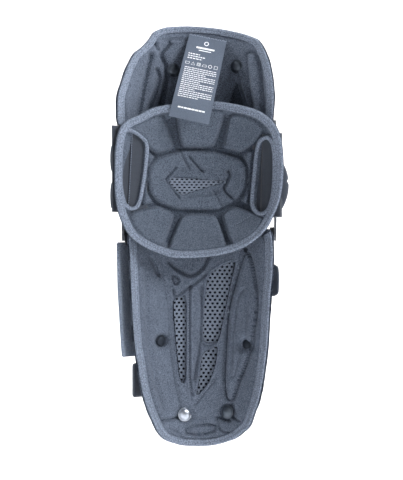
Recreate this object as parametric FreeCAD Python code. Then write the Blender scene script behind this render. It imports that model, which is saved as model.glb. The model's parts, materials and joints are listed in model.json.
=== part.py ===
"""Knee and shin guard: thigh panel, floating knee cup and shin panel, joined by side rivets.

Row frame, millimetres: origin at the centre of the knee cup's lining (where the kneecap rests),
+Z up the leg, +Y forward (hard shells), -Y towards the leg, +X to the wearer's right.
"""
import FreeCAD
import Part
import math
import os

V = FreeCAD.Vector
os.makedirs("parts", exist_ok=True)

# ---------------------------------------------------------------- driving dimensions
CUP_A, CUP_B = 89.0, 80.5          # knee pad half width, half height
CUP_SIDE, CUP_VERT = 45.0, 26.0    # how far the knee pad's rim stands back at the sides, at top and bottom
PAD_Y0 = 19.0                      # lining surface of thigh and shin pads at mid width
PAD_T = 8.0                        # foam thickness
SHELL_T = 2.5                      # hard shell thickness
GAP = 0.35                         # foam to shell
BIND = 5.5                         # visible width of the edge binding
BIND_T = 0.9                       # how far the binding stands proud of the foam
PIV_Y, PIV_Z = -24.0, 28.0         # side pivot rivets
PIV_R = 3.0                        # pivot shank radius
PIV_CLR = 0.08                     # running clearance in the ears
EXP = 2.3                          # curvature exponent of the wrap
STRAP_T = 2.2
TH_LOW, TH_TOP = 50.0, 168.0       # thigh panel, lower edge and top
SH_TOP, SH_LOW = -50.0, -303.0     # shin panel
KNEE_OUT0 = 31.0                   # knee shell inner surface at mid width
KNEE_T = 3.0

# half width of the shin panel at heights
SHIN_W = [(-40, 79), (-70, 78), (-120, 77), (-180, 73.5), (-220, 70), (-250, 65), (-280, 58), (-303, 52)]

# outlines in the X-Z plane (closed, clockwise from the lower left)
THIGH_OUT = [(-83.5, 50), (-86, 68), (-85, 90), (-80.5, 111), (-73.5, 125), (-62.5, 141), (-53, 152.5), (-47, 160.5),
             (-33, 166.5), (-9, 168), (21, 165), (44, 159.5), (57, 153), (66, 144), (72.5, 131), (77, 112), (80, 87), (81, 71), (80, 50)]
SHIN_OUT = [(-75, -50), (-74.5, -70), (-72.5, -102), (-71.5, -135), (-69.5, -168), (-66, -201), (-60.5, -234), (-55, -258.5),
            (-46, -278), (-32, -293), (-14, -300), (8, -301.5), (26, -297.5), (42, -287.5), (54, -274), (61.5, -254), (67, -229),
            (71.5, -192.5), (75, -157), (77, -124), (78, -80), (79.5, -50)]


def wval(z, table):
    if z >= table[0][0]:
        return table[0][1]
    for (z0, w0), (z1, w1) in zip(table, table[1:]):
        if z1 <= z <= z0:
            return w0 + (w1 - w0) * (z - z0) / (z1 - z0)
    return table[-1][1]


# ---------------------------------------------------------------- surfaces
def thigh_f(z):
    a = 78.0
    return a, lambda x: PAD_Y0 - 51.0 * (abs(x) / a) ** EXP


def shin_f(z):
    a = wval(z, SHIN_W) - 4.0
    return a, lambda x: PAD_Y0 - 0.64 * a * (abs(x) / a) ** EXP


def cup_f(z):
    return CUP_A, lambda x: -CUP_SIDE * (abs(x) / CUP_A) ** EXP - CUP_VERT * (z / CUP_B) ** 2


def cup_t(x, z):
    r = math.sqrt((x / CUP_A) ** 2 + (z / CUP_B) ** 2)
    s = min(1.0, max(0.0, (r - 0.70) / 0.30))
    return 12.0 - 7.0 * s * s * (3 - 2 * s)


def knee_f(z):
    a = 83.0
    return a, lambda x: KNEE_OUT0 - 46.0 * (abs(x) / a) ** 3


def strap_f(z):
    a = 93.0
    return a, lambda x: KNEE_OUT0 + KNEE_T + 1.2 - 50.0 * (abs(x) / a) ** 3 - 16.0 * (abs(x) / a) ** 24


def points(fn, z, d, u0, u1, n, tfun=None):
    """Points along a section, offset d along the outward normal, as V in row frame."""
    a, f = fn(z)
    out = []
    for i in range(n):
        # closer spacing towards the sides
        u = u0 + (u1 - u0) * i / (n - 1)
        x = a * u
        y = f(x)
        e = 0.05
        s = (f(x + e) - f(x - e)) / (2 * e)
        nx, ny = -s, 1.0
        ln = math.hypot(nx, ny)
        dd = d if tfun is None else tfun(x, z)
        out.append(V(x + nx / ln * dd, y + ny / ln * dd, z))
    return out


def section(fn, z, d1, d2, u0, u1, n=13, tfun=None):
    inner = points(fn, z, d1, u0, u1, n)
    outer = points(fn, z, d2, u0, u1, n, tfun)
    b1, b2 = Part.BSplineCurve(), Part.BSplineCurve()
    b1.interpolate(inner)
    b2.interpolate(outer)
    return Part.Wire([b1.toShape(), Part.makeLine(inner[-1], outer[-1]), b2.toShape(), Part.makeLine(outer[0], inner[0])])


def panel(fn, zs, d1, d2, u0=-1.08, u1=1.08, n=13, tfun=None):
    return Part.makeLoft([section(fn, z, d1, d2, u0, u1, n, tfun) for z in zs], True, False)


def spaced(z0, z1, n):
    return [z0 + (z1 - z0) * i / (n - 1) for i in range(n)]


def prism(pts, closed_spline=True, y0=-120.0, y1=120.0):
    vs = [V(x, y0, z) for x, z in pts]
    if closed_spline:
        c = Part.BSplineCurve()
        c.interpolate(vs, PeriodicFlag=True)
        w = Part.Wire([c.toShape()])
    else:
        w = Part.makePolygon(vs + [vs[0]])
    return Part.Face(w).extrude(V(0, y1 - y0, 0))


def outline(pts, flat_z=None, keep_above=True):
    """Outline with a spline along its free edge and one straight edge where the list closes."""
    vs = [V(x, -120, z) for x, z in pts]
    c = Part.BSplineCurve()
    c.interpolate(vs)
    w = Part.Wire([c.toShape(), Part.makeLine(vs[-1], vs[0])])
    return Part.Face(w).extrude(V(0, 240, 0))


def inset(pts, d, centre):
    """Moves an open outline inwards by d."""
    out = []
    n = len(pts)
    for i, (x, z) in enumerate(pts):
        a, b = pts[max(0, i - 1)], pts[min(n - 1, i + 1)]
        tx, tz = b[0] - a[0], b[1] - a[1]
        if i == 0 or i == n - 1:
            out.append((x + (d if x < centre[0] else -d), z))
            continue
        ln = math.hypot(tx, tz)
        nx, nz = tz / ln, -tx / ln
        if (centre[0] - x) * nx + (centre[1] - z) * nz < 0:
            nx, nz = -nx, -nz
        out.append((x + nx * d, z + nz * d))
    return out


def grow(pts, d):
    """Closed polygon moved outwards by d."""
    cx = sum(p[0] for p in pts) / len(pts)
    cz = sum(p[1] for p in pts) / len(pts)
    out = []
    n = len(pts)
    for i, (x, z) in enumerate(pts):
        a, b = pts[i - 1], pts[(i + 1) % n]
        tx, tz = b[0] - a[0], b[1] - a[1]
        ln = math.hypot(tx, tz)
        nx, nz = tz / ln, -tx / ln
        if (x - cx) * nx + (z - cz) * nz < 0:
            nx, nz = -nx, -nz
        out.append((x + nx * d, z + nz * d))
    return out


def corner_cut(s):
    """Prisms that lift the lower corners of the thigh panel (s=1) or lower the top corners of the shin panel (s=-1)."""
    out = []
    for sx in (1, -1):
        out.append(prism([(sx * 46, s * 30), (sx * 46, s * 50), (sx * 70, s * 58.5), (sx * 99, s * 58.5), (sx * 99, s * 30)], False))
    return out


def biggest(s):
    return max(s.Solids, key=lambda q: q.Volume)


def solid_of(s):
    s = s.removeSplitter() if hasattr(s, "removeSplitter") else s
    ss = [q for q in s.Solids if q.Volume > 0.5]
    return ss[0] if len(ss) == 1 else Part.makeCompound(ss)


nodes = {}


def put(name, shape):
    nodes[name] = shape


def cyl_x(r, x0, x1, y, z):
    return Part.makeCylinder(r, abs(x1 - x0), V(min(x0, x1), y, z), V(1, 0, 0))


def plate_x(pts, x0, x1):
    vs = [V(min(x0, x1), y, z) for y, z in pts]
    return Part.Face(Part.makePolygon(vs + [vs[0]])).extrude(V(abs(x1 - x0), 0, 0))


def capsule_pts(y0, z0, y1, z1, r, n=10):
    ang = math.atan2(z1 - z0, y1 - y0)
    out = []
    for i in range(n + 1):
        t = ang + math.pi / 2 + math.pi * i / n
        out.append((y0 + r * math.cos(t), z0 + r * math.sin(t)))
    for i in range(n + 1):
        t = ang - math.pi / 2 + math.pi * i / n
        out.append((y1 + r * math.cos(t), z1 + r * math.sin(t)))
    return out


def at_surface(fn, x, z):
    a, f = fn(z)
    e = 0.5
    sx = (f(x + e) - f(x - e)) / (2 * e)
    f2 = fn(z + e)[1]
    f1 = fn(z - e)[1]
    sz = (f2(x) - f1(x)) / (2 * e)
    nrm = V(-sx, 1, -sz)
    nrm.normalize()
    return V(x, f(x), z), nrm


def rivet(fn, x, z, depth, head_r=7.4, head_h=3.0):
    """Domed cap on the lining, shank through foam and shell, and a flat head outside."""
    p, n = at_surface(fn, x, z)
    ball_r = (head_r ** 2 + head_h ** 2) / (2 * head_h)
    t = math.asin(head_r / ball_r) / 2
    mid = V(ball_r * math.sin(t), 0, -head_h + ball_r - ball_r * math.cos(t))
    arc = Part.Arc(V(0, 0, -head_h), mid, V(head_r, 0, 0)).toShape()
    corners = [V(head_r, 0, 0), V(head_r, 0, 0.5), V(2.4, 0, 0.5), V(2.4, 0, depth), V(5.5, 0, depth),
               V(5.5, 0, depth + 1.4), V(0, 0, depth + 1.4), V(0, 0, -head_h)]
    lines = [Part.makeLine(c, d) for c, d in zip(corners, corners[1:])]
    body = Part.Face(Part.Wire([arc] + lines)).revolve(V(0, 0, 0), V(0, 0, 1), 360)
    body.Placement = FreeCAD.Placement(p, FreeCAD.Rotation(V(0, 0, 1), n))
    hole = Part.makeCylinder(2.6, depth + 40, p - n * 10, n)
    seat = Part.makeCylinder(head_r + 0.1, 10.5, p - n * 10, n)
    return body, hole, seat


# ================================================================ THIGH
zs = spaced(44, 172, 5)
th_in = (0, 110)
TO = outline(THIGH_OUT)
th_inner_pts = inset(THIGH_OUT, BIND, th_in)
TI = outline(th_inner_pts)
th_corners = corner_cut(1)
pad_full = panel(thigh_f, zs, 0, PAD_T)
thigh_pad = pad_full.common(TI).cut(th_corners)
bind_full = panel(thigh_f, zs, -BIND_T, PAD_T + BIND_T)
thigh_binding = bind_full.common(TO).cut(TI).cut(th_corners)
shell_pts = [(-81.5, 50), (-81.5, 66), (-77, 88), (-71.5, 106), (-65, 119), (-55.5, 133.5), (-46, 145.5), (-40, 152.5),
             (-30, 157.5), (-8, 159), (18, 156), (39, 151), (50.5, 145.5), (58, 138), (63.5, 127.5), (69, 110), (76, 88), (81.5, 66), (81.5, 50)]
thigh_shell = panel(thigh_f, zs, PAD_T + GAP, PAD_T + GAP + SHELL_T, -0.955, 0.955).common(outline(shell_pts)).cut(th_corners)
# raised stiffening rib down the front of the thigh shell
rib = panel(thigh_f, spaced(92, 150, 4), PAD_T + GAP + SHELL_T - 0.6, PAD_T + GAP + SHELL_T + 2.4, -0.22, 0.22)
thigh_shell = thigh_shell.fuse(rib)
TH_HOLES = [(-27.5, 119.5), (41.0, 122.5)]
riv, holes, seats = [], [], []
for x, z in TH_HOLES:
    b, h, s = rivet(thigh_f, x, z, PAD_T + GAP + SHELL_T + 0.1)
    riv.append(b)
    holes.append(h)
    seats.append(s)
thigh_pad = thigh_pad.cut(holes + seats)
thigh_shell = thigh_shell.cut(holes)

EAR_X0, EAR_X1 = 81.8, 84.2
WING_X0, WING_X1 = 84.6, 87.2


def ear(sign, s):
    """Side ear of the thigh (s=1) or shin (s=-1) shell, down to its pivot, with its bore."""
    pts = [(PIV_Y - 8.5 * math.cos(t), s * (PIV_Z - 8.5 * math.sin(t))) for t in [math.pi * i / 12 for i in range(13)]]
    pts = pts + [(-3.0, s * 62.0), (-14.5, s * 66.0), (-26.0, s * 58.0)]
    e = plate_x(pts, sign * EAR_X0, sign * EAR_X1)
    foot = plate_x([(-6.0, s * 51.0), (-3.0, s * 62.0), (-14.5, s * 66.0), (-17.0, s * 51.0)], sign * (EAR_X0 - 4.5), sign * (EAR_X0 + 0.2))
    bore = cyl_x(PIV_R + PIV_CLR, sign * 70, sign * 100, PIV_Y, s * PIV_Z)
    return e.fuse(foot).cut(bore)


th_ears = [ear(1, 1), ear(-1, 1)]
thigh_shell = thigh_shell.fuse(th_ears)
clear_ears = [q.copy() for q in th_ears]
thigh_pad = thigh_pad.cut(thigh_shell)
thigh_binding = thigh_binding.cut(thigh_shell)
put("thigh_shell", solid_of(thigh_shell))
put("thigh_pad", solid_of(thigh_pad))
put("thigh_binding", solid_of(thigh_binding))
put("thigh_rivets", Part.makeCompound([solid_of(r) for r in riv]))

# care label sewn under the top binding, hanging over the rim of the knee pad
LAB_W, LAB_L, LAB_T = 39.0, 106.0, 0.7
lab_top, lab_bot = V(12.5, 13.8, 158.5), V(-10.0, -46.0, 60.5)
ldir = (lab_bot - lab_top)
LAB_L = ldir.Length
ldir.normalize()
side = V(1, -0.15, -0.2126)
side.normalize()
nn = side.cross(ldir)
nn.normalize()
c0 = lab_top - side * (LAB_W / 2)
lab = Part.Face(Part.makePolygon([c0, c0 + side * LAB_W, c0 + side * LAB_W + ldir * LAB_L, c0 + ldir * LAB_L, c0])).extrude(nn * LAB_T)
put("care_label", lab)
tack = panel(thigh_f, spaced(160.4, 162.6, 3), -0.7, 0.0, -0.06, 0.40, 7).cut(thigh_binding)
put("label_stitching", biggest(tack.cut(thigh_pad)))

# ================================================================ SHIN
zs = spaced(-44, -306, 10)
SO = outline(SHIN_OUT)
SI_pts = inset(SHIN_OUT, BIND, (0, -170))
SI = outline(SI_pts)
sh_corners = corner_cut(-1)
shin_pad = panel(shin_f, zs, 0, PAD_T + 1.0).common(SI).cut(sh_corners)
shin_binding = panel(shin_f, zs, -BIND_T, PAD_T + 1.0 + BIND_T).common(SO).cut(SI).cut(sh_corners)
sp = PAD_T + 1.0
sh_shell_pts = [(-81.5, -50), (-81.5, -66), (-70, -84), (-63.5, -105), (-62, -135), (-60, -168), (-56.5, -199), (-51.5, -230), (-46.5, -252),
                (-39, -268.5), (-28, -283), (-12, -290.5), (8, -292), (23.5, -288.5), (37, -280), (46.5, -269), (53, -251), (58, -226),
                (62, -192), (65.5, -157), (67, -124), (70, -84), (81.5, -66), (81.5, -50)]
shin_shell = panel(shin_f, zs, sp + GAP, sp + GAP + SHELL_T, -0.985, 0.985).common(outline(sh_shell_pts)).cut(sh_corners)
# keel rib down the front of the shin, below the knee cup
keel = panel(shin_f, spaced(-112, -262, 5), sp + GAP + SHELL_T - 0.8, sp + GAP + SHELL_T + 1.6, -0.13, 0.13, 7)
shin_shell = shin_shell.fuse(keel)
SH_MID = [(-40.5, -176.5), (50.5, -179.5)]
SH_LOWR = [(-15.5, -258.5), (30.5, -255.0)]
mid, low = [], []
sh_holes, sh_seats = [], []
for lst, dst in ((SH_MID, mid), (SH_LOWR, low)):
    for x, z in lst:
        b, h, s = rivet(shin_f, x, z, sp + GAP + SHELL_T + 0.1, 6.4 if dst is mid else 7.4, 2.2 if dst is mid else 3.2)
        dst.append(b)
        sh_holes.append(h)
        sh_seats.append(s)
shin_pad = shin_pad.cut(sh_holes + sh_seats)
shin_shell = shin_shell.cut(sh_holes)
# vent windows through the foam, with air mesh in them
WIN_R = [(13, -107), (38, -96), (36, -112), (28, -150), (23, -184), (22, -206), (4.5, -240), (9, -206), (12, -165), (13, -130)]
WIN_L = [(-27, -137), (-16, -131), (-15, -180), (-17, -219), (-21, -222), (-24.5, -190), (-27, -158)]


def smooth_prism(pts):
    return prism(pts, False)


wr, wl = smooth_prism(WIN_R), smooth_prism(WIN_L)
mesh_layer = panel(shin_f, zs, 2.2, 3.4, -0.7, 0.7)
put("shin_mesh_right", solid_of(mesh_layer.common(wr)))
put("shin_mesh_left", solid_of(mesh_layer.common(wl)))
shin_pad = shin_pad.cut([wr, wl])
sh_ears = [ear(1, -1), ear(-1, -1)]
shin_shell = shin_shell.fuse(sh_ears)
shin_pad = shin_pad.cut(shin_shell)
shin_binding = shin_binding.cut(shin_shell)
put("shin_shell", solid_of(shin_shell))
put("shin_pad", solid_of(shin_pad))
put("shin_binding", solid_of(shin_binding))
put("shin_rivets_mid", Part.makeCompound([solid_of(r) for r in mid]))
put("shin_rivets_low", Part.makeCompound([solid_of(r) for r in low]))

# ================================================================ KNEE CUP
czs = spaced(-82, 82, 11)


def ellipse_prism(a, b):
    e = Part.Ellipse(V(0, 0, 0), a, b).toShape()
    w = Part.Wire([e])
    w.rotate(V(0, 0, 0), V(1, 0, 0), 90)
    w.translate(V(0, -120, 0))
    return Part.Face(w).extrude(V(0, 240, 0))


EO, EI = ellipse_prism(CUP_A, CUP_B), ellipse_prism(CUP_A - BIND, CUP_B - BIND)
knee_pad = panel(cup_f, czs, 0, 12, -1.02, 1.02, 15, cup_t).common(EI)
kb = panel(cup_f, czs, -BIND_T, 12, -1.02, 1.02, 15, lambda x, z: cup_t(x, z) + BIND_T).common(EO).cut(EI)
# strap slots through the side lobes
SLOT_L = [(-79, -8), (-77, 22), (-70, 40), (-65, 41), (-59, 28), (-60, 0), (-63, -28), (-68, -33), (-75, -30), (-78.5, -22)]
SLOT_R = [(-x, z) for x, z in SLOT_L]
SLOT_R = [(59, -32), (61, 0), (64, 28), (70, 38), (77, 36), (79, 14), (79.5, -8), (77, -28), (71, -38), (63, -38)]
sl, sr = smooth_prism(SLOT_L), smooth_prism(SLOT_R)
knee_win = [(-33, -2), (-24, 6), (20, 2), (12, -8), (-14, -17), (-22, -16)]
kw = smooth_prism(knee_win)
knee_mesh = panel(cup_f, spaced(-30, 20, 5), 4.0, 5.2, -0.6, 0.6).common(kw)
ring_cut = [smooth_prism(grow(SLOT_L, 2.8)), smooth_prism(grow(SLOT_R, 2.8))]
cup_skin = panel(cup_f, czs, -0.8, 12, -1.02, 1.02, 15, lambda x, z: cup_t(x, z) - 0.3).common(EI)
rings = [solid_of(cup_skin.common(rc).cut(sc)) for rc, sc in zip(ring_cut, (sl, sr))]


relief = []
for sx in (1, -1):
    for s in (1, -1):
        swept = [(-24, 18.7), (-30.6, 21.4), (-33.5, 28), (-35, 34), (-58, 66), (-10, 72), (0, 62), (-14.5, 28), (-17.4, 21.4)]
        relief.append(plate_x([(y, s * z) for y, z in swept], sx * 79.8, sx * (EAR_X1 + 0.38)))
wing_relief = [plate_x([(-34.2, -40), (-34.2, 40), (10, 40), (10, -40)], sx * 84.2, sx * 99) for sx in (1, -1)]
knee_pad = knee_pad.cut([sl, sr, kw] + ring_cut + relief + wing_relief)
kb = kb.cut(ring_cut + relief + wing_relief)
rings = [solid_of(r.cut(relief)) for r in rings]
knee_pad = biggest(knee_pad)
put("knee_pad", knee_pad)
kb = biggest(kb)
put("knee_binding", kb)
put("knee_mesh", solid_of(knee_mesh))
put("slot_bindings", Part.makeCompound(rings))

kzs = [-80, -68, -55, -28, 0, 28, 55, 68, 80]
shell_cut = ellipse_prism(90.0, 79.0)
knee_shell = panel(knee_f, kzs, 0, KNEE_T, -1.02, 1.02, 15).common(shell_cut).cut(relief)
wing_pts = [(PIV_Y - 9.5 * math.cos(t), PIV_Z + 9.5 * math.sin(t)) for t in [math.pi / 2 * i / 8 for i in range(9)]]
wings = []
for s in (1, -1):
    top = [(PIV_Y - 9.5 * math.sin(t), PIV_Z + 9.5 * math.cos(t)) for t in [math.pi / 2 * i / 8 for i in range(9)]]
    bot = [(y, -z) for y, z in reversed(top)]
    pts = [(-12.5, 26.0), (-16.0, 35.5)] + top + bot + [(-16.0, -35.5), (-12.5, -26.0)]
    wings.append(plate_x(pts, s * WING_X0, s * WING_X1))
# the shell's side wall runs into each wing
knee_shell = knee_shell.fuse(wings)
pivots = []
for sx in (1, -1):
    for sz in (1, -1):
        y, z = PIV_Y, sz * PIV_Z
        p = cyl_x(PIV_R, sx * 80.2, sx * 87.6, y, z).fuse([
            cyl_x(5.4, sx * 87.2, sx * 88.8, y, z), cyl_x(5.0, sx * 80.2, sx * 81.5, y, z)])
        pivots.append(solid_of(p))
        knee_shell = knee_shell.cut(cyl_x(PIV_R, sx * 84, sx * 88, y, z))
# seat for the kneeling plate: a boss on the front of the shell
BOSS_Y = KNEE_OUT0 + KNEE_T + 3.5


def rounded(a, b, r, y0, y1):
    f = Part.makePlane(2 * a, 2 * b, V(-a, y0, -b), V(0, 1, 0), V(1, 0, 0)) if False else None
    pts = []
    for cx, cz, st in ((a - r, b - r, 0), (-a + r, b - r, 90), (-a + r, -b + r, 180), (a - r, -b + r, 270)):
        for i in range(7):
            t = math.radians(st + 15 * i)
            pts.append((cx + r * math.cos(t), cz + r * math.sin(t)))
    return prism(pts, False, y0, y1)


boss = rounded(31, 25, 11, KNEE_OUT0 - 1.0, BOSS_Y)
inner_void = panel(knee_f, kzs, -60, 0, -0.9, 0.9, 15)
boss = boss.cut(inner_void)
knee_shell = knee_shell.fuse(boss)
plate = rounded(28, 22, 10, BOSS_Y, BOSS_Y + 4.0)
plate = plate.makeChamfer(1.4, [e for e in plate.Edges if abs(e.CenterOfMass.y - (BOSS_Y + 4.0)) < 1e-6])
screws = []
for x, z in ((-20, 14), (20, 14), (-20, -14), (20, -14)):
    hole = Part.makeCylinder(1.5, 30, V(x, 20, z), V(0, 1, 0))
    csk = Part.makeCylinder(3.2, 3, V(x, BOSS_Y + 2.2, z), V(0, 1, 0))
    plate = plate.cut([hole, csk])
    knee_shell = knee_shell.cut(hole)
    sc = Part.makeCylinder(1.5, BOSS_Y + 2.2 - 30.0, V(x, 30.0, z), V(0, 1, 0)).fuse(
        Part.makeCylinder(3.1, 1.6, V(x, BOSS_Y + 2.2, z), V(0, 1, 0)))
    sock = Part.makeCylinder(1.2, 1.0, V(x, BOSS_Y + 3.0, z), V(0, 1, 0))
    screws.append(solid_of(sc.cut(sock)))
put("kneeling_plate", solid_of(plate))
put("plate_screws", Part.makeCompound(screws))
put("pivot_rivets", Part.makeCompound(pivots))

# foam core between the knee pad and the shell
core = prism([(-44, -34), (44, -34), (44, 34), (-44, 34)], False)
core_body = Part.makeBox(88, 80, 68, V(-44, -22, -34))
pad_back = panel(cup_f, czs, -40, 12.3, -1.02, 1.02, 15, lambda x, z: cup_t(x, z) + 0.3)
front = panel(knee_f, kzs, -GAP, 40, -1.02, 1.02, 15)
core_body = core_body.cut([pad_back, front])
sc_holes = [Part.makeCylinder(1.7, 30, V(x, 20, z), V(0, 1, 0)) for x, z in ((-20, 14), (20, 14), (-20, -14), (20, -14))]
core_body = core_body.cut(sc_holes)
put("knee_core", solid_of(core_body))
knee_shell = knee_shell.cut([p for p in pivots])
put("knee_shell", solid_of(knee_shell))

# ================================================================ STRAPS
# side webbing seen through the slots of the knee pad
web_fn = lambda z: (CUP_A, lambda x: -CUP_SIDE * (abs(x) / CUP_A) ** EXP - CUP_VERT * (z / CUP_B) ** 2)
web_r = panel(web_fn, spaced(-40, 40, 7), 4, 14, 0.60, 0.838, 9, lambda x, z: cup_t(x, z) + 2.2)
web_l = panel(web_fn, spaced(-40, 40, 7), 4, 14, -0.838, -0.60, 9, lambda x, z: cup_t(x, z) + 2.2)
behind = [core_body] + relief + rings
core_cut = panel(cup_f, spaced(-42, 42, 7), -10, 12, 0.4, 1.02, 15, lambda x, z: cup_t(x, z) + 0.15)
core_cut_l = panel(cup_f, spaced(-42, 42, 7), -10, 12, -1.02, -0.4, 15, lambda x, z: cup_t(x, z) + 0.15)
put("slot_webbing_right", biggest(web_r.cut(core_cut).cut(behind).cut(kb)))
put("slot_webbing_left", biggest(web_l.cut(core_cut_l).cut(behind).cut(kb)))

# knee straps: left ends open, right ends tucked behind the pad and sewn to the elastic gusset
S_U0, S_U1 = -0.995, 0.938
UP_BAND = [(-99, 6.5), (-86, 6.5), (-20, 36), (20, 36), (80, 2.5), (99, 2.5), (99, 36), (80, 36), (20, 70), (-20, 70), (-86, 41), (-99, 41)]
LO_BAND = [(-99, 0.5), (-86, 0.5), (-20, -36), (20, -36), (80, -2.5), (99, -2.5), (99, -36), (80, -36), (20, -70), (-20, -70), (-86, -34), (-99, -34)]
strap_solids = []
for nm, band_pts in (("knee_strap_upper", UP_BAND), ("knee_strap_lower", LO_BAND)):
    s = panel(strap_f, [-74, -37, 0, 37, 74], 0, STRAP_T, S_U0, S_U1, 31).common(smooth_prism(band_pts))
    strap_solids.append(s)
    put(nm, solid_of(s))
    # hook tab sewn on the free (left) end, outside
    tab = panel(strap_f, [-74, -37, 0, 37, 74], STRAP_T - 0.4, STRAP_T + 1.5, -0.99, -0.72, 9).common(smooth_prism(band_pts)).cut(s)
    put(nm.replace("strap", "hook"), solid_of(tab))

# elastic gusset on the right wing that the knee straps are sewn to
gus = [(84.0, 22), (90, 21.5), (94.5, 17), (97.5, 6), (98.6, -8), (98.0, -20), (95, -29), (90, -33.5), (84.0, -34)]
gusset = prism(gus, False, -36.5, -31.0).cut([knee_shell, knee_pad, kb] + pivots + relief)
put("strap_gusset", biggest(gusset))

# calf wing (left), calf strap (right) and ankle strap, stowed forward over the shin shell
WING_D = sp + GAP + SHELL_T + 2.2


def band(z0, z1, d, t, u0, u1, n=15, m=5):
    return panel(shin_f, spaced(z0, z1, m), d, d + t, u0, u1, n)


wing = band(-68, -192, WING_D, 3.0, -1.02, -0.17)
wing = wing.cut(prism([(-78, -60), (-78, -68), (-52, -74), (-34, -80), (-5, -86), (-5, -60)], False))
put("calf_wing", solid_of(wing))
cs = band(-91, -127, WING_D + 2.0, STRAP_T, -0.13, 0.985)
put("calf_strap", solid_of(cs))
put("calf_hook", solid_of(band(-91.5, -126.5, WING_D + 1.0, 1.5, -0.13, 0.16, 7).cut(cs)))
ans = band(-200, -238, WING_D, STRAP_T, -0.90, 0.80, 21)
put("ankle_strap", solid_of(ans))
put("ankle_hook", solid_of(band(-200.5, -237.5, WING_D + STRAP_T - 0.5, 2.0, -0.90, -0.58, 9).cut(ans)))

# ---------------------------------------------------------------- write
for name, shape in nodes.items():
    ok = shape.isValid()
    bb = shape.BoundBox
    print(name, "solids", len(shape.Solids), "valid", ok, "vol", round(shape.Volume), "box",
          [round(v, 1) for v in (bb.XMin, bb.XMax, bb.YMin, bb.YMax, bb.ZMin, bb.ZMax)])
    shape.exportStep("parts/%s.step" % name)
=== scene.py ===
import bpy
import math
import json
import numpy as np
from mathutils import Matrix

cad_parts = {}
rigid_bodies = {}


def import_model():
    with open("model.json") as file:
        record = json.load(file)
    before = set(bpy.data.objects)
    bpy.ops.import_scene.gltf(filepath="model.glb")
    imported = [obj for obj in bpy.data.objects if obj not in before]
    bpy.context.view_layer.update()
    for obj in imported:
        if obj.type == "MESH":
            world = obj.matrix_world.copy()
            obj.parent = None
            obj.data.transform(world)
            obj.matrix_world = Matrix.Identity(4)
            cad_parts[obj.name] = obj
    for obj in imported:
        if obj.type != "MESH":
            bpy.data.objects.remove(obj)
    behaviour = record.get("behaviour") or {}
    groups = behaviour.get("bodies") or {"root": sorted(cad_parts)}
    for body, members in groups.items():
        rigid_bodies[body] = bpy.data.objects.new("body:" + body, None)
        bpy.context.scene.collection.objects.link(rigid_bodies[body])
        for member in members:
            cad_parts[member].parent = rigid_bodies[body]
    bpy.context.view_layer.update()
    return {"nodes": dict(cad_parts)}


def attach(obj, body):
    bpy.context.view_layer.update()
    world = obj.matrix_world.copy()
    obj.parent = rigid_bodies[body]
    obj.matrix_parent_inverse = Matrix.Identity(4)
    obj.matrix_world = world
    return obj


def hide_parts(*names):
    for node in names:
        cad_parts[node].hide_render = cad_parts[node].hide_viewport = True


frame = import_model()
S = 0.001                       # working unit is the millimetre


# ------------------------------------------------------------------ camera first
cam_data = bpy.data.cameras.new("camera")
cam = bpy.data.objects.new("camera", cam_data)
bpy.context.scene.collection.objects.link(cam)
cam.location = (0.0027, -2.2, -0.065)
cam.rotation_euler = (math.radians(90), 0, 0)
cam_data.lens = 150
cam_data.sensor_width = 36
cam_data.sensor_fit = 'AUTO'
cam_data.clip_end = 50
bpy.context.scene.camera = cam
bpy.context.scene.view_settings.view_transform = 'Standard'


# ------------------------------------------------------------------ surfaces, mm
EXP = 2.3
SHIN_W = [(-40, 79), (-70, 78), (-120, 77), (-180, 73.5), (-220, 70), (-250, 65), (-280, 58), (-303, 52)]
_sz = np.array([p[0] for p in SHIN_W][::-1], float)
_sw = np.array([p[1] for p in SHIN_W][::-1], float)


def thigh_y(x, z):
    return 19.0 - 51.0 * (np.abs(x) / 78.0) ** EXP


def shin_y(x, z):
    a = np.interp(z, _sz, _sw) - 4.0
    return 19.0 - 0.64 * a * (np.abs(x) / a) ** EXP


def cup_y(x, z):
    return -45.0 * (np.abs(x) / 89.0) ** EXP - 26.0 * (z / 80.5) ** 2


def cup_t(x, z):
    r = np.sqrt((x / 89.0) ** 2 + (z / 80.5) ** 2)
    s = np.clip((r - 0.70) / 0.30, 0, 1)
    return 12.0 - 7.0 * s * s * (3 - 2 * s)


def strap_y(x):
    u = np.abs(x) / 93.0
    return 35.2 - 50.0 * u ** 3 - 16.0 * u ** 24


def q(px, py):
    """Drawing grid to mm: the grid is 1.1 mm, its origin at the knee cup's centre is (199, 181)."""
    return ((px - 199.0) * 1.1, (181.0 - py) * 1.1)


def Q(*pts):
    return np.array([q(a, b) for a, b in pts], float)


# ------------------------------------------------------------------ 2-D helpers
def sm(a, b, v):
    t = np.clip((v - a) / (b - a), 0, 1)
    return t * t * (3 - 2 * t)


def puff(sd, edge):
    """0 at the border, 1 inside, with a round shoulder."""
    t = np.clip(sd / edge, 0, 1)
    return np.sqrt(np.clip(1 - (1 - t) ** 2, 0, 1)) * 0.75 + 0.25 * sm(0, 1, t)


def line_d(x, z, pts):
    best = np.full(x.shape, 1e9)
    for a, b in zip(pts[:-1], pts[1:]):
        d = b - a
        L = float(d @ d) + 1e-9
        t = np.clip(((x - a[0]) * d[0] + (z - a[1]) * d[1]) / L, 0, 1)
        best = np.minimum(best, np.hypot(x - a[0] - t * d[0], z - a[1] - t * d[1]))
    return best


def inside(x, z, pts):
    r = np.zeros(x.shape, bool)
    n = len(pts)
    for i in range(n):
        x0, z0 = pts[i]
        x1, z1 = pts[(i + 1) % n]
        if z0 == z1:
            continue
        c = ((z0 > z) != (z1 > z)) & (x < (x1 - x0) * (z - z0) / (z1 - z0) + x0)
        r ^= c
    return r


def sdist(x, z, pts):
    d = line_d(x, z, np.vstack([pts, pts[:1]]))
    return np.where(inside(x, z, pts), d, -d)


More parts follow.
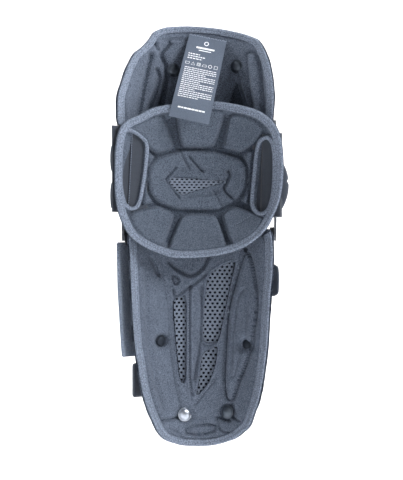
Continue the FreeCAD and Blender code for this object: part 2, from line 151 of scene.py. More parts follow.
def rounded(pts, n=3, k=0.28):
    """Closed polygon with its corners rounded by corner cutting."""
    p = np.array(pts, float)
    for _ in range(n):
        nx = np.roll(p, -1, axis=0)
        p = np.stack([p * (1 - k) + nx * k, p * k + nx * (1 - k)], 1).reshape(-1, 2)
        k = 0.25
    return p


def smooth_closed(pts, n):
    """Closed Catmull-Rom through pts, resampled to n even steps."""
    p = np.array(pts, float)
    m = len(p)
    out = []
    for i in range(m):
        p0, p1, p2, p3 = p[i - 1], p[i], p[(i + 1) % m], p[(i + 2) % m]
        t = np.linspace(0, 1, 24, endpoint=False)[:, None]
        out.append(0.5 * ((2 * p1) + (-p0 + p2) * t + (2 * p0 - 5 * p1 + 4 * p2 - p3) * t ** 2 + (-p0 + 3 * p1 - 3 * p2 + p3) * t ** 3))
    c = np.vstack(out)
    return resample(np.vstack([c, c[:1]]), n, True)


def smooth_open(pts, n):
    p = np.array(pts, float)
    p = np.vstack([2 * p[0] - p[1], p, 2 * p[-1] - p[-2]])
    out = []
    for i in range(1, len(p) - 2):
        t = np.linspace(0, 1, 24, endpoint=False)[:, None]
        p0, p1, p2, p3 = p[i - 1], p[i], p[i + 1], p[i + 2]
        out.append(0.5 * ((2 * p1) + (-p0 + p2) * t + (2 * p0 - 5 * p1 + 4 * p2 - p3) * t ** 2 + (-p0 + 3 * p1 - 3 * p2 + p3) * t ** 3))
    c = np.vstack(out + [p[-2:-1]])
    return resample(c, n, False)


def resample(c, n, closed):
    seg = np.linalg.norm(np.diff(c, axis=0), axis=1)
    s = np.concatenate([[0], np.cumsum(seg)])
    t = np.linspace(0, s[-1], n, endpoint=not closed)
    return np.stack([np.interp(t, s, c[:, k]) for k in range(c.shape[1])], 1)


rng = np.random.default_rng(7)
_waves = [(rng.normal(size=2), rng.uniform(0, 6.28)) for _ in range(40)]


def rumple(x, z, size):
    """Seeded smooth unevenness, about -1..1, with features of the given size in mm."""
    v = 0
    for d, ph in _waves:
        v = v + np.sin((x * d[0] + z * d[1]) * 2.2 / size + ph)
    return v / 9.0


# ------------------------------------------------------------------ mesh helpers
def new_mesh(name, verts, faces, mat, smooth=True):
    me = bpy.data.meshes.new(name)
    me.from_pydata([tuple(v) for v in (np.asarray(verts) * S).tolist()], [], faces)
    me.validate()
    me.update()
    if smooth:
        me.polygons.foreach_set("use_smooth", [True] * len(me.polygons))
    ob = bpy.data.objects.new(name, me)
    bpy.context.scene.collection.objects.link(ob)
    me.materials.append(mat)
    return ob


def grid_faces(rows, cols, wrap_c=True, base=0, flip=False):
    f = []
    cc = cols if wrap_c else cols - 1
    for r in range(rows - 1):
        for c in range(cc):
            a = base + r * cols + c
            b = base + r * cols + (c + 1) % cols
            d = a + cols
            e = b + cols
            f.append((a, d, e, b) if flip else (a, b, e, d))
    return f


def normal_of(surf, x, z):
    e = 0.3
    sx = (surf(x + e, z) - surf(x - e, z)) / (2 * e)
    sz = (surf(x, z + e) - surf(x, z - e)) / (2 * e)
    ln = np.sqrt(1 + sx * sx + sz * sz)
    return -sx / ln, 1 / ln, -sz / ln, ln


def polar_pad(name, outline, centre, radii, surf, height, thick, mat):
    """Closed padded panel: relief on the lining side, plain back."""
    n = len(outline)
    c = np.array(centre, float)
    front = []
    for r in radii:
        p = c + (outline - c) * r
        front.append(p)
    P = np.vstack(front)
    x, z = P[:, 0], P[:, 1]
    h = height(x, z)
    nx, ny, nz, ln = normal_of(surf, x, z)
    y = surf(x, z)
    V1 = np.stack([x - nx * h, y - ny * h, z - nz * h], 1)
    rb = [0.03, 0.15, 0.3, 0.45, 0.6, 0.72, 0.82, 0.9, 0.95, 0.98, 1.0]
    B = np.vstack([c + (outline - c) * r for r in rb])
    xb, zb = B[:, 0], B[:, 1]
    rim = np.repeat(rb, n)
    t = thick(xb, zb) * (1 - 0.25 * sm(0.93, 1.0, rim))
    V2 = np.stack([xb, surf(xb, zb) + t * np.minimum(normal_of(surf, xb, zb)[3], 1.5), zb], 1)
    verts = np.vstack([V1, V2, [[c[0], float(surf(c[0:1], c[1:2])[0] - height(c[0:1], c[1:2])[0]), c[1]]],
                       [[c[0], float(surf(c[0:1], c[1:2])[0] + thick(c[0:1], c[1:2])[0]), c[1]]]])
    nr = len(radii)
    f = grid_faces(nr, n, True, 0, True)
    base = nr * n
    f += grid_faces(len(rb), n, True, base, False)
    # rim strip
    a0 = (nr - 1) * n
    b0 = base + (len(rb) - 1) * n
    for i in range(n):
        j = (i + 1) % n
        f.append((a0 + i, b0 + i, b0 + j, a0 + j))
    cf = len(V1) + len(V2)
    for i in range(n):
        j = (i + 1) % n
        f.append((cf, i, j)[::-1] if False else (cf, j, i)[::-1])
        f.append((cf + 1, base + i, base + j)[::-1])
    return new_mesh(name, verts, f, mat)


def fix_normals(ob):
    import bmesh
    bm = bmesh.new()
    bm.from_mesh(ob.data)
    bmesh.ops.recalc_face_normals(bm, faces=bm.faces)
    bm.to_mesh(ob.data)
    bm.free()
    return ob


def path_frames(path, closed):
    if closed:
        t = np.roll(path, -1, 0) - np.roll(path, 1, 0)
    else:
        t = np.gradient(path, axis=0)
    t /= np.linalg.norm(t, axis=1)[:, None] + 1e-12
    return t


def inward(path, closed, centre):
    t = path_frames(path, closed)
    u = np.stack([-t[:, 1], t[:, 0]], 1)
    c = np.array(centre)
    s = np.sign(((c - path) * u).sum(1))
    # one consistent side
    u = u * (1 if s.sum() > 0 else -1)
    return u


def draped_band(name, path, u, closed, surf, profile, mat, pucker=0.0):
    """Sweep of a (s, t) profile along an outline: s runs inwards in plan, t stands off the surface towards the leg."""
    n = len(path)
    m = len(profile)
    prof = np.array(profile, float)
    L = np.concatenate([[0], np.cumsum(np.linalg.norm(np.diff(path, axis=0), axis=1))])
    V = []
    for i in range(n):
        k = 1.0 + pucker * math.sin(L[i] * 2 * math.pi / 3.4)
        xz = path[i] + u[i] * prof[:, :1]
        x, z = xz[:, 0], xz[:, 1]
        ln = np.minimum(normal_of(surf, x, z)[3], 1.5)
        t = prof[:, 1] * np.where(prof[:, 1] > 0, k, 1.0)
        V.append(np.stack([x, surf(x, z) - t * ln, z], 1))
    V = np.vstack(V)
    f = []
    nn = n if closed else n - 1
    for i in range(nn):
        j = (i + 1) % n
        for a in range(m):
            b = (a + 1) % m
            f.append((i * m + a, j * m + a, j * m + b, i * m + b))
    if not closed:
        f.append(tuple(range(m)))
        f.append(tuple(range((n - 1) * m, n * m))[::-1])
    return fix_normals(new_mesh(name, V, f, mat))


def stitches(name, path3, normals3, mat, pitch=3.2, length=2.2, r=0.32, closed=False, skew=0.0):
    """Row of raised thread stitches along a 3-D polyline (mm)."""
    p = np.vstack([path3, path3[:1]]) if closed else path3
    nn = np.vstack([normals3, normals3[:1]]) if closed else normals3
    seg = np.linalg.norm(np.diff(p, axis=0), axis=1)
    s = np.concatenate([[0], np.cumsum(seg)])
    k = max(2, int(s[-1] / pitch))
    V, F = [], []
    for i in range(k):
        s0 = (i + 0.5) * s[-1] / k
        pos = np.array([np.interp(s0, s, p[:, j]) for j in range(3)])
        pa = np.array([np.interp(max(0, s0 - 0.8), s, p[:, j]) for j in range(3)])
        pb = np.array([np.interp(min(s[-1], s0 + 0.8), s, p[:, j]) for j in range(3)])
        no = np.array([np.interp(s0, s, nn[:, j]) for j in range(3)])
        t = pb - pa
        t /= np.linalg.norm(t) + 1e-9
        no /= np.linalg.norm(no) + 1e-9
        b = np.cross(t, no)
        if skew:
            t = t * math.cos(skew) + b * math.sin(skew) * (1 if i % 2 else -1)
            b = np.cross(t, no)
        base = len(V)
        for a, rr, lift in ((-1, 0.15, -0.35), (-0.6, 0.85, 0.1), (0, 1.0, 0.3), (0.6, 0.85, 0.1), (1, 0.15, -0.35)):
            for c in range(6):
                an = c * math.pi / 3
                V.append(pos + t * a * length / 2 + (b * math.cos(an) + no * math.sin(an)) * r * rr + no * lift * r)
        for a in range(4):
            for c in range(6):
                d = (c + 1) % 6
                F.append((base + a * 6 + c, base + a * 6 + d, base + (a + 1) * 6 + d, base + (a + 1) * 6 + c))
        F.append(tuple(base + c for c in range(6))[::-1])
        F.append(tuple(base + 24 + c for c in range(6)))
    return new_mesh(name, np.array(V), F, mat)


def on_surface(path, surf, off):
    x, z = path[:, 0], path[:, 1]
    nx, ny, nz, ln = normal_of(surf, x, z)
    return np.stack([x - nx * off, surf(x, z) - ny * off, z - nz * off], 1), np.stack([-nx, -ny, -nz], 1)


def revolve(name, prof, pos, axis, mat, seg=48):
    """prof is (r, h) from the centre outwards; h along axis."""
    a = np.array(axis, float)
    a /= np.linalg.norm(a)
    e1 = np.cross(a, [0.3, 0.2, 1.0])
    e1 /= np.linalg.norm(e1)
    e2 = np.cross(a, e1)
    V, F = [], []
    m = len(prof)
    for r, h in prof:
        for i in range(seg):
            t = 2 * math.pi * i / seg
            V.append(np.array(pos) + a * h + (e1 * math.cos(t) + e2 * math.sin(t)) * max(r, 1e-3))
    for k in range(m - 1):
        for i in range(seg):
            j = (i + 1) % seg
            F.append((k * seg + i, k * seg + j, (k + 1) * seg + j, (k + 1) * seg + i))
    F.append(tuple(range(seg))[::-1])
    F.append(tuple(range((m - 1) * seg, m * seg)))
    return fix_normals(new_mesh(name, np.array(V), F, mat))


def join(name, obs):
    for o in bpy.context.view_layer.objects:
        o.select_set(False)
    for o in obs:
        o.select_set(True)
    bpy.context.view_layer.objects.active = obs[0]
    bpy.ops.object.join()
    obs[0].name = name
    obs[0].data.name = name
    return obs[0]


# ------------------------------------------------------------------ materials
class Nodes:
    def __init__(self, name):
        self.mat = bpy.data.materials.new(name)
        self.mat.use_nodes = True
        self.t = self.mat.node_tree
        self.bsdf = [n for n in self.t.nodes if n.type == 'BSDF_PRINCIPLED'][0]
        self.co = self.new('ShaderNodeTexCoord').outputs['Object']

    def new(self, kind, **kw):
        n = self.t.nodes.new(kind)
        for k, v in kw.items():
            setattr(n, k, v)
        return n

    def link(self, a, b):
        self.t.links.new(a, b)

    def noise(self, scale, detail=2.0, rough=0.5, stretch=None):
        src = self.co
        if stretch:
            m = self.new('ShaderNodeMapping')
            m.inputs['Scale'].default_value = stretch
            self.link(src, m.inputs['Vector'])
            src = m.outputs['Vector']
        n = self.new('ShaderNodeTexNoise')
        n.inputs['Scale'].default_value = scale
        n.inputs['Detail'].default_value = detail
        n.inputs['Roughness'].default_value = rough
        self.link(src, n.inputs['Vector'])
        return n.outputs['Fac']

    def wave(self, scale, direction='X', dist=0.0, rot=None):
        src = self.co
        if rot:
            m = self.new('ShaderNodeMapping')
            m.inputs['Rotation'].default_value = rot
            self.link(src, m.inputs['Vector'])
            src = m.outputs['Vector']
        n = self.new('ShaderNodeTexWave', bands_direction=direction)
        n.inputs['Scale'].default_value = scale
        n.inputs['Distortion'].default_value = dist
        n.inputs['Detail'].default_value = 1.0
        self.link(src, n.inputs['Vector'])
        return n.outputs['Fac']

    def math(self, op, a, b):
        n = self.new('ShaderNodeMath', operation=op)
        for k, v in enumerate((a, b)):
            if isinstance(v, (int, float)):
                n.inputs[k].default_value = v
            else:
                self.link(v, n.inputs[k])
        return n.outputs[0]

    def ramp(self, fac, stops):
        n = self.new('ShaderNodeValToRGB')
        e = n.color_ramp.elements
        while len(e) < len(stops):
            e.new(0.5)
        for k, (p, c) in enumerate(stops):
            e[k].position = p
            e[k].color = (c[0], c[1], c[2], 1)
        self.link(fac, n.inputs['Fac'])
        return n.outputs['Color']

    def mix(self, fac, a, b):
        n = self.new('ShaderNodeMix', data_type='RGBA')
        if isinstance(fac, (int, float)):
            n.inputs['Factor'].default_value = fac
        else:
            self.link(fac, n.inputs['Factor'])
        for k, v in ((6, a), (7, b)):
            if isinstance(v, tuple):
                n.inputs[k].default_value = (v[0], v[1], v[2], 1)
            else:
                self.link(v, n.inputs[k])
        return n.outputs[2]

    def bump(self, height, dist, strength=1.0):
        n = self.new('ShaderNodeBump')
        n.inputs['Strength'].default_value = strength
        n.inputs['Distance'].default_value = dist
        self.link(height, n.inputs['Height'])
        self.link(n.outputs['Normal'], self.bsdf.inputs['Normal'])


def srgb(r, g, b):
    return tuple(((v / 255.0 + 0.055) / 1.055) ** 2.4 if v > 10 else v / 255.0 / 12.92 for v in (r, g, b))


def fabric(name, light, dark, speck=900.0, rough=0.95, sheen=0.35, bump=0.00035, weave=1400.0, mottled=0.35):
    m = Nodes(name)
    fine = m.noise(speck, 2.0, 0.6)
    big = m.noise(42.0, 3.0, 0.55)
    c = m.ramp(fine, [(0.38, dark), (0.50, tuple((a + b) / 2 for a, b in zip(light, dark))), (0.62, light)])
    c2 = m.ramp(big, [(0.3, tuple(v * 0.86 for v in light)), (0.7, tuple(v * 1.1 for v in light))])
    col = m.mix(mottled, c, c2)
    m.link(col, m.bsdf.inputs['Base Color'])
    w1 = m.wave(weave, 'X')
    w2 = m.wave(weave * 0.8, 'Z')
    knit = m.math('MAXIMUM', w1, w2)
    h = m.math('ADD', m.math('MULTIPLY', knit, 0.45), m.math('MULTIPLY', fine, 0.9))
    m.bump(h, bump)
    b = m.bsdf.inputs
    b['Roughness'].default_value = rough
    b['Sheen Weight'].default_value = sheen
    b['Sheen Roughness'].default_value = 0.45
    b['Sheen Tint'].default_value = (0.75, 0.85, 1.0, 1)
    b['Specular IOR Level'].default_value = 0.25
    return m.mat


def webbing(name, light, dark, direction='Z', period=1.5):
    """Ribbed elastic: ribs run along the strap."""
    m = Nodes(name)
    rib = m.wave(1000.0 / period / 2, direction)
    fine = m.noise(1100.0, 2.0, 0.6)
    c = m.ramp(m.math('ADD', m.math('MULTIPLY', rib, 0.6), m.math('MULTIPLY', fine, 0.4)), [(0.2, dark), (0.8, light)])
    m.link(c, m.bsdf.inputs['Base Color'])
    m.bump(m.math('ADD', rib, m.math('MULTIPLY', fine, 0.5)), 0.0005)
    m.bsdf.inputs['Roughness'].default_value = 0.85
    m.bsdf.inputs['Sheen Weight'].default_value = 0.2
    m.bsdf.inputs['Specular IOR Level'].default_value = 0.3
    return m.mat


def plastic(name, base, rough=0.5, grain=1300.0, bump=0.00012, spec=0.45):
    m = Nodes(name)
    g = m.noise(grain, 2.0, 0.5)
    wear = m.noise(35.0, 4.0, 0.6)
    c = m.ramp(wear, [(0.3, tuple(v * 0.85 for v in base)), (0.75, tuple(v * 1.25 for v in base))])
    m.link(c, m.bsdf.inputs['Base Color'])
    r = m.new('ShaderNodeMapRange')
    r.inputs['To Min'].default_value = rough - 0.08
    r.inputs['To Max'].default_value = rough + 0.12
    m.link(wear, r.inputs['Value'])
    m.link(r.outputs['Result'], m.bsdf.inputs['Roughness'])
    m.bump(g, bump)
    m.bsdf.inputs['Specular IOR Level'].default_value = spec
    return m.mat


def metal(name, base, rough=0.22):
    m = Nodes(name)
    w = m.noise(300.0, 3.0, 0.6)
    c = m.ramp(w, [(0.3, tuple(v * 0.7 for v in base)), (0.7, base)])
    m.link(c, m.bsdf.inputs['Base Color'])
    r = m.new('ShaderNodeMapRange')
    r.inputs['To Min'].default_value = rough * 0.8
    r.inputs['To Max'].default_value = rough * 1.6
    m.link(w, r.inputs['Value'])
    m.link(r.outputs['Result'], m.bsdf.inputs['Roughness'])
    m.bsdf.inputs['Metallic'].default_value = 1.0
    m.bump(w, 0.00004)
    return m.mat


M_FOAM = fabric("foam_knit", srgb(109, 119, 136), srgb(50, 57, 69), speck=1050.0, sheen=0.06, mottled=0.16)
M_FOAM_K = fabric("foam_knit_knee", srgb(101, 111, 127), srgb(46, 53, 64), speck=1050.0, sheen=0.06, mottled=0.16)
M_BIND = fabric("binding_tape", srgb(128, 138, 155), srgb(70, 79, 93), speck=800.0, bump=0.0002, mottled=0.15, sheen=0.06)
M_THREAD = fabric("thread", srgb(150, 160, 178), srgb(118, 128, 146), speck=2500.0, bump=0.0001, mottled=0.1)
M_DARKTHREAD = fabric("thread_dark", srgb(70, 79, 94), srgb(52, 60, 73), speck=2500.0, bump=0.0001, mottled=0.1)
# painted shade: a darker copy of the foam knit for the faces in the grooves
M_GROOVE_SHADE = fabric("foam_groove_shade", srgb(80, 89, 104), srgb(34, 40, 50), speck=1050.0, sheen=0.02, mottled=0.1)
M_MESH = fabric("air_mesh", srgb(136, 146, 163), srgb(92, 102, 118), speck=1500.0, bump=0.0003, mottled=0.2)
# painted shade: near-black fabric for the recessed vent floors
M_VENT_SHADE = fabric("vent_floor_shade", srgb(30, 35, 44), srgb(16, 19, 25), speck=900.0, bump=0.0002, mottled=0.2, sheen=0.0)
# painted shade: a darker copy of the strap webbing for the elastic in the slots and the gusset loop
M_ELASTIC_SHADE = webbing("elastic_painted_shade", srgb(64, 72, 86), srgb(32, 38, 48))
M_STRAP = webbing("strap_elastic", srgb(74, 83, 98), srgb(42, 49, 60))
M_HOOK = fabric("hook_field", srgb(92, 102, 118), srgb(52, 60, 73), speck=1000.0, bump=0.0009, mottled=0.1)
M_LABEL = fabric("label_satin", srgb(96, 106, 122), srgb(74, 83, 97), speck=1300.0, rough=0.6, sheen=0.05, bump=0.00008, mottled=0.4)
M_PRINT = fabric("label_print", srgb(243, 246, 250), srgb(225, 230, 238), speck=2500.0, rough=0.7, sheen=0.0, bump=0.00003, mottled=0.1)
M_SHELL = plastic("shell_plastic", (0.040, 0.046, 0.057), 0.42)
# painted light: a lighter copy of the foam knit for the calf flap, brightening it where it sits in shade
M_FLAP_LIT = fabric("flap_knit_painted_light", srgb(138, 148, 165), srgb(74, 83, 97), speck=1050.0, sheen=0.08, mottled=0.16)
M_PLATE = plastic("plate_rubber", (0.045, 0.048, 0.055), 0.62, 700.0, 0.0003)
M_CORE = plastic("core_foam", (0.05, 0.052, 0.058), 0.9, 500.0, 0.0008, 0.2)
M_CHROME = metal("rivet_chrome", (0.46, 0.50, 0.57), 0.26)
M_DARKCAP = metal("rivet_dark", (0.11, 0.13, 0.16), 0.40)
M_BLACKCAP = metal("rivet_black", (0.035, 0.042, 0.055), 0.5)
M_STEEL = metal("steel", (0.42, 0.43, 0.45), 0.35)

# ------------------------------------------------------------------ outlines
THIGH_OUT = Q((123, 131), (120.5, 126), (119.6, 118), (120, 99), (123, 87), (128, 71), (135, 56), (142, 49), (149, 40.5), (154, 32.5), (161, 28.4), (170, 26),
              (191, 24.9), (217, 27.2), (239, 32.5), (251, 37.5), (258.5, 43), (265.5, 58), (269.6, 74), (271.6, 90), (271.9, 104), (271, 118), (270, 126), (268, 131),
              (262, 133.5), (240, 137), (199, 138), (150, 137), (128, 133.5))
SHIN_OUT = Q((133, 230), (130.5, 236), (131, 250), (131.8, 270), (133, 300), (135.5, 340), (139, 364), (143, 390), (148.5, 409), (153, 420), (158.5, 432), (166, 440.5),
             (176, 445), (186, 447.3), (206, 447.6), (220, 445), (234, 439), (242.5, 431.5), (249, 424), (253.5, 411), (257.5, 399), (261.3, 380), (264, 360), (266, 340),
             (267.6, 312), (269, 290), (270.6, 272), (271, 256), (270.5, 240), (268, 231), (262, 228.5), (240, 226), (199, 225), (150, 226), (138, 228))
KNEE_OUT = Q((140, 118), (153, 111), (170, 107), (191, 104.6), (214, 104), (230, 106), (247, 110), (260, 115.5), (271, 125), (277.5, 138), (280.5, 157), (280.6, 179),
             (277.8, 199), (272, 215), (262, 232), (246, 245), (226, 253), (200, 256.8), (176, 257), (162, 253.5), (146, 246.5), (132, 236), (124, 222), (119.4, 208),
             (117.3, 190), (117.2, 164), (118.4, 146), (122, 132), (129, 123.5))

thigh_line = smooth_closed(THIGH_OUT, 560)
shin_line = smooth_closed(SHIN_OUT, 760)
knee_line = smooth_closed(KNEE_OUT, 640)


# ------------------------------------------------------------------ relief: thigh
def groove(d, w, depth):
    return -depth * (1 - sm(0, 1, d / w))


def crease(d, w, depth):
    return -depth * np.exp(-(d / w) ** 2)


def ridge(d, w, height):
    return height * np.exp(-(d / w) ** 2)


def thigh_h(x, z):
    return 1.5 * thigh_relief(x, z)


def thigh_relief(x, z):
    L = lambda *p: line_d(x, z, smooth_open(Q(*p), 30))
    h = 0.25 * rumple(x, z, 14) + 0.12 * rumple(x + 50, z, 5)
    h += crease(L((154, 41), (156, 45), (158, 49)), 1.9, 2.2)
    g1 = L((152, 56), (149, 68), (146, 83), (143, 99), (140, 118), (139, 132))
    h += crease(g1, 3.0, 3.4)
    h += ridge(np.abs(g1 - 6.0), 2.6, 0.5)
    h += crease(L((158, 70), (160, 76), (159, 84), (155, 97), (150, 109), (146, 124)), 2.6, 3.0)
    ve = L((170, 43), (162, 54), (166.5, 65.5), (167, 77), (165, 92), (162, 110), (159, 132))
    h += crease(ve, 2.8, 3.4)
    h += crease(L((162, 45), (167, 40), (181, 38), (200, 38.5)), 2.2, 1.6)
    # long rounded bar on the right
    bar = rounded(Q((247, 56), (252, 52.5), (257, 58), (260, 80), (262, 116), (263, 136), (251, 136), (254.5, 112), (250.5, 85)), 3)
    sd = sdist(x, z, bar)
    h += 4.2 * puff(sd, 6.5) - 1.8 * np.exp(-(np.clip(-sd, 0, 99) / 3.0) ** 2) * (sd < 0)
    rid = L((240, 70), (242, 78), (245.5, 91), (249.5, 108), (252, 128))
    h += ridge(rid, 2.0, 2.0)
    tri = rounded(Q((238, 76), (231, 88), (227, 104), (226, 134), (249, 134), (247.5, 108), (243, 90)), 2)
    h -= 3.6 * sm(0, 5.0, sdist(x, z, tri))
    # rivet dimples
    for c in ((173.7, 69), (236, 66)):
        cx, cz = q(*c)
        d = np.hypot(x - cx, z - cz)
        h -= 1.6 * np.exp(-(d / 9.5) ** 2)
    # left stitched step
    le = L((137, 56), (133, 63), (129, 84), (126.7, 98), (126, 106), (127.4, 119), (128, 132))
    h += crease(le, 1.3, 0.9)
    e = np.clip(sdist(x, z, thigh_line[::4]), 0, 99)
    h -= 1.8 * (1 - sm(3.0, 10.5, e))
    h += 0.22 * np.sin(np.arctan2(z - 100, x) * 62) * np.exp(-((e - 7.5) / 3.0) ** 2)
    return h


def pad_t(x, z):
    return np.full(x.shape, 8.0)


# ------------------------------------------------------------------ relief: shin
WIN_R = rounded(Q((222, 266.5), (235.5, 261.5), (233.5, 270), (230.5, 284), (226.5, 302), (223, 320), (219.5, 337), (217, 343), (205, 343), (203.4, 335), (204, 315), (206, 294), (208.5, 276)), 1, 0.2)
WIN_R2 = rounded(Q((202.5, 355), (217, 347), (217, 353), (214.5, 369), (208, 384), (196.5, 397), (199, 385), (201, 370)), 1, 0.2)
WIN_L = rounded(Q((173.5, 300), (185, 296), (185, 340), (184.5, 378), (182.5, 384), (179.5, 378), (176.5, 352), (174.5, 330), (173, 309)), 1, 0.2)


def shin_h(x, z):
    return np.maximum(1.6 * shin_relief(x, z), -7.6)


def shin_relief(x, z):
    L = lambda *p: line_d(x, z, smooth_open(Q(*p), 36))
    P = lambda *p: line_d(x, z, Q(*p))
    h = 0.25 * rumple(x, z, 16) + 0.12 * rumple(x, z + 30, 5)
    # raised central field between the two long side grooves
    field = rounded(Q((160, 244), (163, 275), (164, 290), (168, 309), (168.6, 340), (172, 372), (178, 402), (187, 420), (208, 420), (222, 402), (224, 340), (227, 309), (235, 279), (243, 250), (240, 236), (165, 236)), 2)
    h += 2.4 * puff(sdist(x, z, field), 6.0)
    # curved V under the knee cup
    h += crease(L((169, 262), (174, 267), (180, 271), (190, 275.5), (199, 271), (205, 264), (209, 256)), 2.4, 3.6)
    tri = rounded(Q((168.5, 271), (183.5, 279), (172, 290)), 2)
    sdt = sdist(x, z, tri)
    h += -2.4 * sm(0, 1.6, sdt) + 2.6 * puff(sdt - 2.6, 3.0)
    h += crease(L((172, 290), (174, 296), (182, 292), (190, 287)), 1.7, 2.6)
    h += crease(L((190, 287), (198, 281), (206, 275)), 1.7, 2.2)
    h += crease(L((152, 259), (156, 266), (159, 274)), 2.2, 2.2)
    # long seams down the middle
    sv = L((188.5, 289), (188.3, 320), (188.2, 350), (188.8, 378), (191, 396))
    h += crease(sv, 1.5, 1.5)
    h += ridge(np.abs(sv - 3.2), 1.3, 0.55)
    h += crease(L((200.5, 288), (201.5, 310), (200.5, 338), (197.5, 356), (193.5, 380)), 1.9, 1.8)
    h += crease(L((215, 381), (208, 389), (200, 399), (195, 405)), 1.4, 1.6)
    h += crease(L((203, 345), (209, 347), (217, 342)), 1.6, 1.2)
    # vents: framed by a soft lip
    for w in (WIN_R, WIN_R2, WIN_L):
        sd = sdist(x, z, w)
        h += ridge(np.abs(sd + 2.0), 1.4, 0.7)
        h -= 6.0 * sm(-1.2, 0.4, sd)
    # right lens
    lens = rounded(Q((246, 250), (238, 279), (229.5, 309), (227.5, 340), (225, 392), (231, 405), (238, 381), (246, 362), (251, 340), (254, 317), (256, 298), (254, 282), (251, 262)), 2)
    sdl = sdist(x, z, lens)
    h += 2.4 * puff(sdl, 7.0) - 2.4 * np.exp(-(np.clip(-sdl, 0, 99) / 2.4) ** 2) * (sdl < 0)
    lens2 = rounded(Q((240, 296), (236, 320), (233, 352), (232, 386), (240, 360), (247, 330), (249, 305), (247, 286)), 2)
    h += crease(np.abs(sdist(x, z, lens2)), 1.5, 0.9)
    hole = rounded(Q((241, 246), (249, 247), (245, 256)), 1)
    h -= 4.0 * sm(0, 2.5, sdist(x, z, hole))
    # left side panel line and outer field
    h += crease(L((147, 276), (148, 310), (150, 345), (156, 380), (164, 408)), 2.4, 1.5)
    h += crease(L((137.5, 258), (139, 300), (141.5, 338), (146, 368), (153, 398), (159, 414)), 1.5, 1.0)
    # creases at the foot
    h += crease(P((161, 421), (184, 418.5)), 1.7, 2.0)
    h += crease(P((215, 418), (229, 421.5)), 1.7, 1.8)
    rec = rounded(Q((185, 428.5), (217, 424.5), (213, 435), (187, 437)), 1)
    h += crease(np.abs(sdist(x, z, rec)), 1.4, 2.0)
    h += crease(L((217, 421), (221, 431), (233, 435)), 1.5, 1.6)
    h += crease(P((172, 431), (181, 436)), 1.4, 1.4)
    h += crease(L((233, 404), (230, 416), (239, 421)), 1.6, 1.5)
    for c, r in (((162.2, 341.4), 8.5), ((244.9, 344.2), 8.5), ((184.9, 416), 10), ((226.7, 412.8), 10)):
        cx, cz = q(*c)
        d = np.hypot(x - cx, z - cz)
        h -= 3.0 * np.exp(-(d / r) ** 4)
    e = np.clip(sdist(x, z, shin_line[::5]), 0, 99)
    h -= 1.9 * (1 - sm(3.0, 11.0, e))
    h += 0.22 * np.sin(np.arctan2(z + 170, x) * 84) * np.exp(-((e - 7.5) / 3.0) ** 2)
    return h


# ------------------------------------------------------------------ relief: knee
SLOT_L = smooth_closed(rounded(Q((124, 139), (127, 134), (133, 133.5), (144, 141), (146.5, 146), (145, 165), (142, 186), (138.5, 204), (134, 208.5), (128, 206), (125, 198), (122.5, 180), (122.3, 160)), 1), 150)
SLOT_R = smooth_closed(rounded(Q((258, 146), (263, 140.5), (268, 141), (271.4, 150), (272.2, 168), (271.3, 190), (268.4, 205), (264, 212), (258, 213), (253.5, 208), (252.6, 200), (255, 178)), 1), 150)
K_SEG = [
    Q((175.5, 113), (200, 109.8), (226, 112), (214.5, 148.5), (181, 148.5)),
    Q((131, 131), (140, 124), (165, 116.5), (175, 149), (158, 155.5), (147, 147.5)),
    Q((228.5, 117), (240, 115.5), (255, 122), (262, 131.5), (252.5, 145), (240, 153.5), (222.5, 148.5)),
    Q((150, 167), (149, 180), (150.5, 193), (158, 202.5), (177, 209.5), (217, 210), (236.5, 199.5), (244.5, 186), (244.5, 167), (239, 159), (213, 151.5), (182, 151.5), (158, 157.5)),
    Q((181.5, 213.5), (215.5, 213.5), (227, 249), (200, 252), (167, 250)),
    Q((132, 213.5), (140, 210), (158, 205.5), (175.5, 214), (164, 247), (147, 240), (134, 226)),
    Q((220.5, 214), (233.5, 205.5), (253.5, 213), (263.5, 219), (253, 236), (231, 247)),
    Q((149, 152), (156, 158), (148.5, 168), (148, 192), (155, 203), (143.5, 206), (147.5, 176)),
    Q((246, 152), (251, 152), (248.5, 176), (246, 204), (240.5, 201), (247.5, 190), (247.5, 168), (243, 158)),
]
K_SEG = [rounded(s, 2, 0.12) for s in K_SEG]
K_REC = rounded(Q((177, 167.5), (165.5, 180.5), (178.5, 197.5), (200, 199), (224, 194.5), (230.5, 181), (228, 170.5), (206, 172.5)), 2)
K_WIN = rounded(Q((171.5, 177.6), (190, 178), (200, 179.4), (210, 180.2), (226, 181), (215, 185), (200, 189.2), (189, 192.8), (182.5, 195.5), (174, 189), (168.5, 182)), 1, 0.15)


